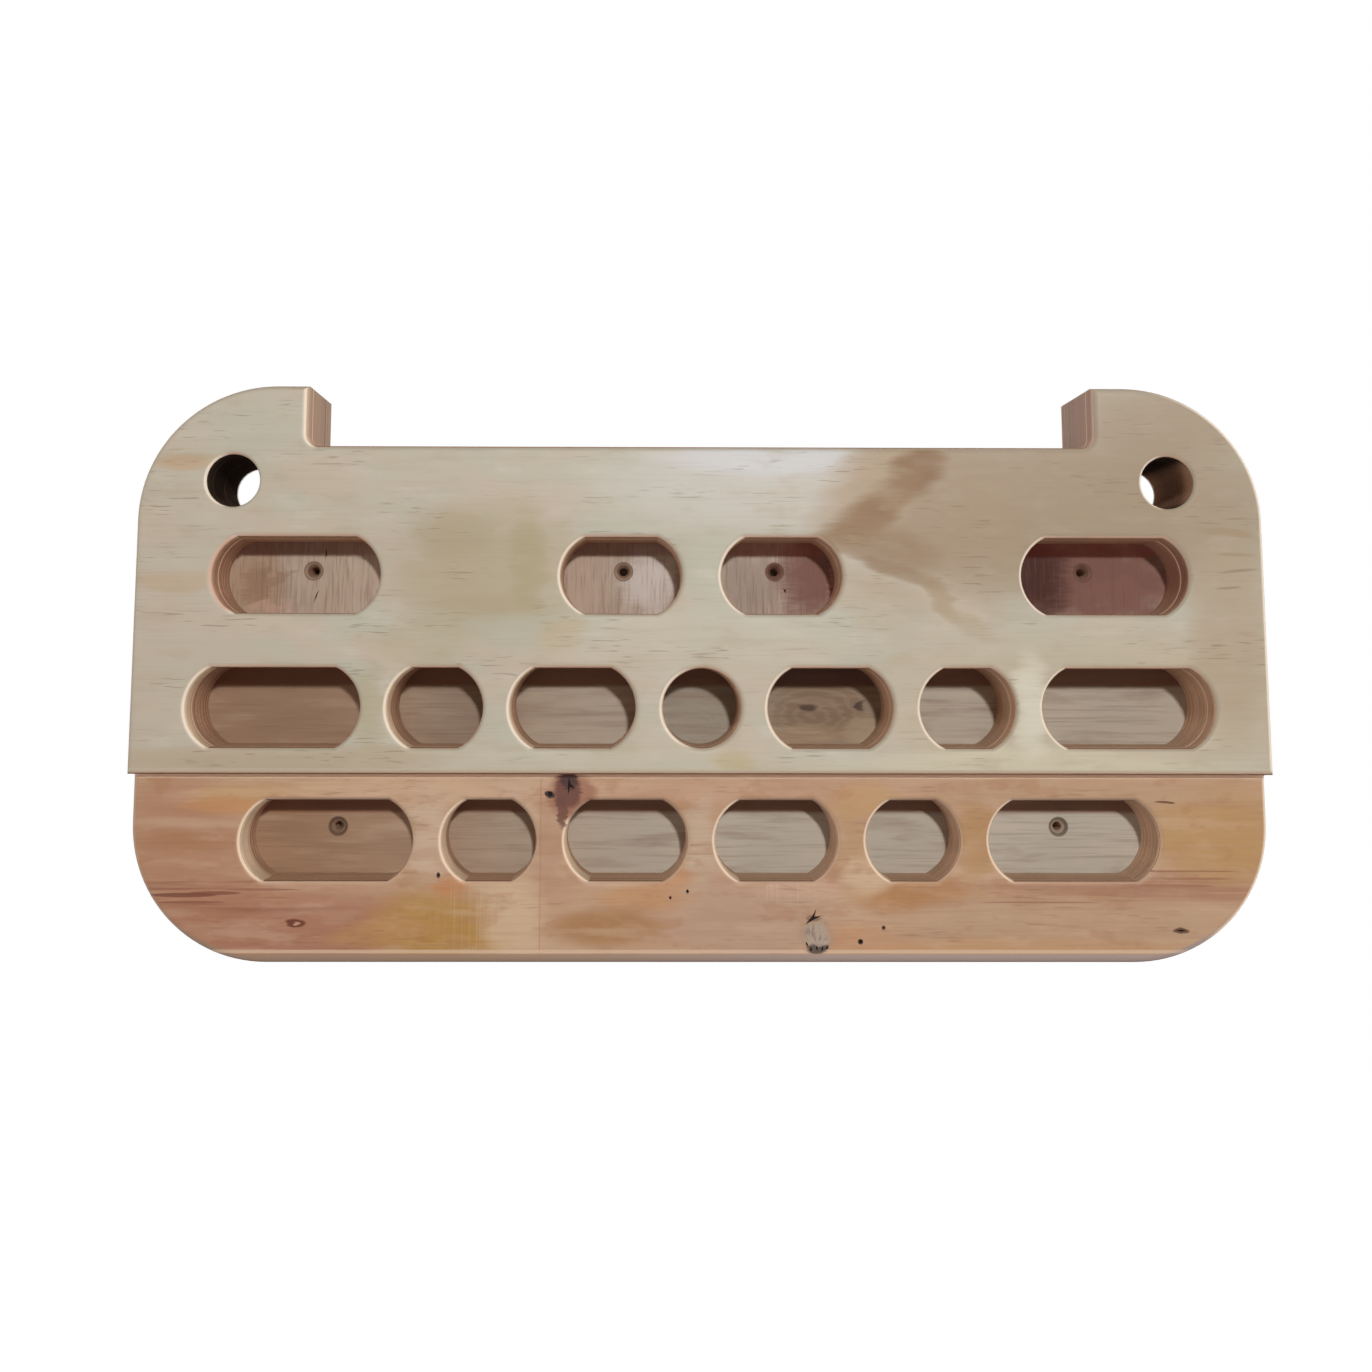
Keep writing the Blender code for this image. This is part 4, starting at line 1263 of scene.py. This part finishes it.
# %% Cut the lip's face
lip_cracks = [
    crack(56.4, -124.6, 1.9, (52.2, -128.0), (61.4, -123.2), (58.3, -119.9)),
    crack(-67.3, -58.2, 1.6, (-67.6, -54.6), (-67.9, -63.2), (-64.2, -60.4)),
    crack(242.8, -130.7, 1.0, (239.8, -130.6), (246.0, -130.9))]
bark_places = (
    (53.2, -137.4, -0.5), (55.2, -140.0, 0.4), (58.2, -139.3, -0.2), (60.9, -139.8, 0.3), (63.4, -139.0, 0.8))
bark_marks = [
    crack(x, z, 1.0, (x - lean, z - 1.5), (x + lean, z + 1.4)) for x, z, lean in bark_places]
pin_places = (
    (-77.0, -62.7, 1.2), (80.3, -136.2, 1.0), (92.1, -129.3, 0.7), (-133.3, -103.4, 0.7),
    (-7.1, -111.4, 0.7), (-15.8, -114.5, 0.6))
pin_holes = [
    round_hole(x * MM, z * MM, radius * MM, MIDDLE_BOARD, 0.1 * MM, PIN_HOLE_SEGMENTS)
    for x, z, radius in pin_places]
lip_marks = lip_cracks + bark_marks + pin_holes
middle_face_veneer = veneer(
    "middle_face_veneer", middle_front_contours + lip_marks,
    lip_rings(MIDDLE_BOARD, MIDDLE_BOARD + VENEER - GLUE / 2), ruddy_face)
print("marks cut into the lip:", len(lip_marks))

# %% Lay the middle board's front plies
MIDDLE_CORE, MIDDLE_VENEER = MIDDLE_BOARD + VENEER, BACK_BOARD - VENEER
middle_front_plies = stack(
    "middle_front_plies", middle_front_contours, ply_edges(MIDDLE_CORE, PLY_PITCH, 2), lip_rings,
    core_finishes)


def finish_floor(piece, depth, finish):
    """Give the faces that look forward at one depth their own finish."""
    for face in piece.data.polygons:
        if face.normal.y < -0.9 and abs(face.center.y + THICKNESS - depth - GLUE / 2) < GLUE / 4:
            face.material_index = finish


finish_floor(middle_front_plies, MIDDLE_CORE, 2)


# %% Lay the plies that repeat
def repeated_plies(name, contours, start, pitch, plies, first_grain):
    """Plies and glue lines by the laminate tree, from the depth where the first glue line starts."""
    return grown(
        flat_sheet(name, contours, start + GLUE / 2), laminate,
        {"Plies": plies, "First Grain": first_grain, "Ply Pitch": pitch, "Glue Line": GLUE,
         "Groove": GROOVE, "Grain Along": grain_along, "Grain Across": grain_across, "Glue": glue_line})


middle_plies = repeated_plies(
    "middle_plies", middle_front_contours, MIDDLE_CORE + 2 * PLY_PITCH, PLY_PITCH, 6, 0)

# %% Lay the plies under the shallow floors
floor_cracks = [
    crack(-203.8, 39.2, 0.8, (-205.2, 35.2), (-202.4, 42.6)),
    crack(-199.2, 61.5, 0.7, (-199.4, 57.4), (-199.0, 66.0)),
    crack(45.8, 42.4, 0.8, (44.4, 44.4), (46.7, 43.9), (46.3, 40.4))]
shallow_floor_plies = stack(
    "shallow_floor_plies", middle_rear_contours,
    ply_edges(SHALLOW_FLOOR, FLOOR_PITCH, 2) + [MIDDLE_VENEER], plain_rings,
    core_finishes + (torn_floor,), floor_cracks)
finish_floor(shallow_floor_plies, SHALLOW_FLOOR, 3)
middle_back_veneer = stack(
    "middle_back_veneer", middle_rear_contours, (MIDDLE_VENEER, BACK_BOARD - GLUE / 2), plain_rings,
    veneer_finishes)

# %% [markdown]
# ## The back board
# Fifteen millimetres thick. The deep pockets just skim its face veneer, which is their floor. The
# countersinks of the lip's screws are cut into it, and its rear edge is rounded.

# %% Cut the deep pockets' floors
BACK_CORE, BACK_VENEER = BACK_BOARD + VENEER, THICKNESS - VENEER
skimmed_contours = [back_edge] + middle_pockets + lip_pockets + hang_holes + top_screws
back_contours = [back_edge] + hang_holes + top_screws + lip_screws
floor_veneer = bmesh.new()
add_sheet(floor_veneer, skimmed_contours, (BACK_BOARD, DEEP_FLOOR), 0.0, 0)
add_sheet(floor_veneer, back_contours, (DEEP_FLOOR, BACK_CORE - GLUE / 2), 0.0, 0)
back_face_veneer = piece_from("back_face_veneer", floor_veneer, (deep_floor,))
print("floors", round((DEEP_FLOOR - BACK_BOARD) / MM, 3), "mm inside the veneer")


# %% Lay the back board's front plies
def countersunk_rings(near, far):
    """A sheet with one more ring, at the depth where a countersink ends."""
    return [near, DEEP_FLOOR + COUNTERSINK_RADIUS - SCREW_RADIUS, far]


back_front_ply = stack(
    "back_front_ply", back_contours, ply_edges(BACK_CORE, BACK_PITCH, 1), countersunk_rings,
    core_finishes)
back_plies = repeated_plies("back_plies", back_contours, BACK_CORE + BACK_PITCH, BACK_PITCH, 2, 1)

# %% Lay the rounded plies and the veneer on the wall
back_rear_plies = stack(
    "back_rear_plies", back_contours, ply_edges(BACK_VENEER - 2 * BACK_PITCH, BACK_PITCH, 2),
    rear_stations, (grain_along, grain_across, glue_line))
back_back_veneer = veneer(
    "back_back_veneer", [back_edge] + hang_holes, rear_stations(BACK_VENEER + GLUE / 2, THICKNESS),
    wall_face)
print("veneer on the wall", len(back_back_veneer.data.polygons), "faces")

# %% [markdown]
# ## The background
# The photograph has a white background. The floor and the world are white only for the camera and for
# reflections, and the floor keeps the board's shadow. To the wood the floor is plain grey, and the
# world a weak warm light.

# %% Mix by the kind of ray
def background_mix(tree, seen, fallen_on):
    """Mix two shaders by what kind of ray looks at them."""
    rays = tree_node(tree, "ShaderNodeLightPath")
    plain_view = tree_node(
        tree, "ShaderNodeMath", {0: rays.outputs["Is Camera Ray"], 1: rays.outputs["Is Glossy Ray"]},
        operation="MAXIMUM")
    any_view = tree_node(
        tree, "ShaderNodeMath", {0: plain_view.outputs[0], 1: rays.outputs["Is Transmission Ray"]},
        operation="MAXIMUM")
    return tree_node(
        tree, "ShaderNodeMixShader", {0: any_view.outputs[0], 1: fallen_on, 2: seen}).outputs[0]


# %% Lay the floor
FLOOR_Z = -0.75
REACH = 1.6
floor_mesh = bpy.data.meshes.new("studio_floor")
corners = [(REACH * x, REACH * y, FLOOR_Z) for x, y in ((-1, -1), (1, -1), (1, 1), (-1, 1))]
floor_mesh.from_pydata(corners, [], [(0, 1, 2, 3)])
studio_floor = bpy.data.objects.new("studio_floor", floor_mesh)
bpy.context.scene.collection.objects.link(studio_floor)
floor_finish = bpy.data.materials.new("studio_floor")
floor_finish.use_nodes = True
floor_nodes = floor_finish.node_tree
floor_shader = floor_nodes.nodes["Principled BSDF"]
floor_shader.inputs["Base Color"].default_value = (0.5, 0.5, 0.5, 1.0)
floor_shader.inputs["Roughness"].default_value = 0.9
floor_glow = tree_node(floor_nodes, "ShaderNodeEmission", {"Color": (1, 1, 1, 1), "Strength": 0.9})
shaded_glow = tree_node(
    floor_nodes, "ShaderNodeAddShader", {0: floor_glow.outputs[0], 1: floor_shader.outputs[0]})
floor_nodes.links.new(
    background_mix(floor_nodes, shaded_glow.outputs[0], floor_shader.outputs[0]),
    floor_nodes.nodes["Material Output"].inputs[0])
floor_mesh.materials.append(floor_finish)
print("floor at", FLOOR_Z)

# %% [markdown]
# ## The light
# The photograph's shadows say where the light was. Each pocket's floor has a dark band under its top
# edge, a third as high as the pocket is deep, and a dark crescent at its right end. So a small lamp
# hung far off in front, high and a little right. Two weaker lamps at the sides light the pockets'
# walls, and one behind lights the side that goes to the wall. The world fills the shadows with the warm
# light of a wooden room.

# %% Fill the shadows
FILL_COLOUR, FILL_STRENGTH = (1.0, 0.74, 0.58, 1), 0.19
world = bpy.data.worlds.new("studio")
bpy.context.scene.world = world
world.use_nodes = True
sky = world.node_tree
white = tree_node(sky, "ShaderNodeBackground", {"Color": (1, 1, 1, 1), "Strength": 1.0})
fill = tree_node(sky, "ShaderNodeBackground", {"Color": FILL_COLOUR, "Strength": FILL_STRENGTH})
sky.links.new(background_mix(sky, white.outputs[0], fill.outputs[0]), sky.nodes["World Output"].inputs[0])
print("fill", FILL_COLOUR[:3], "at", FILL_STRENGTH)


# %% Hang the lamps
def hang_lamp(name, place, size, energy):
    """A round soft lamp that looks at the middle of the board."""
    data = bpy.data.lights.new(name, "AREA")
    data.shape = "DISK"
    data.size = size
    data.energy = energy
    lamp = bpy.data.objects.new(name, data)
    bpy.context.scene.collection.objects.link(lamp)
    lamp.location = place
    lamp.rotation_euler = (-lamp.location).to_track_quat("-Z", "Y").to_euler()
    print(name, "at", place)


hang_lamp("key_lamp", (0.32, -2.40, 0.80), 0.18, 40.0)
hang_lamp("right_lamp", (3.70, -1.45, 0.05), 1.2, 26.0)
hang_lamp("left_lamp", (-3.70, -1.45, 0.05), 1.2, 26.0)
hang_lamp("back_lamp", (0.0, 2.60, -0.10), 1.2, 18.0)


# %% [markdown]
# ## Hand over
# Every piece rides on the one body and stands in for its imported node, which is hidden. Each row
# also names a slot, which the loop doesn't use.

# %% Ride and replace
hand_over = (
    (front_face_veneer, "front_board_face_veneer", "pale_pine_veneer"),
    (front_plies, "front_board_core", "plywood_core"),
    (front_back_veneer, "front_board_back_veneer", "pale_pine_veneer"),
    (middle_face_veneer, "middle_board_face_veneer", "ruddy_pine_veneer"),
    (middle_front_plies, "middle_board_core", "plywood_core"),
    (middle_plies, "middle_board_core", "plywood_core"),
    (shallow_floor_plies, "middle_board_core", "plywood_core"),
    (middle_back_veneer, "middle_board_back_veneer", "ruddy_pine_veneer"),
    (back_face_veneer, "back_board_face_veneer", "floor_pine_veneer"),
    (back_front_ply, "back_board_core", "plywood_core"),
    (back_plies, "back_board_core", "plywood_core"),
    (back_rear_plies, "back_board_core", "plywood_core"),
    (back_back_veneer, "back_board_back_veneer", "pale_pine_veneer"),
)
for piece, node, slot in hand_over:
    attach(piece, "root")
    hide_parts(node)
print("handed over", len(hand_over), "pieces")

# %% [markdown]
# ## The view
# The view transform is set to Standard, and the view layer is brought up to date.

# %% Set the view and finish
bpy.context.scene.view_settings.view_transform = "Standard"
bpy.context.view_layer.update()
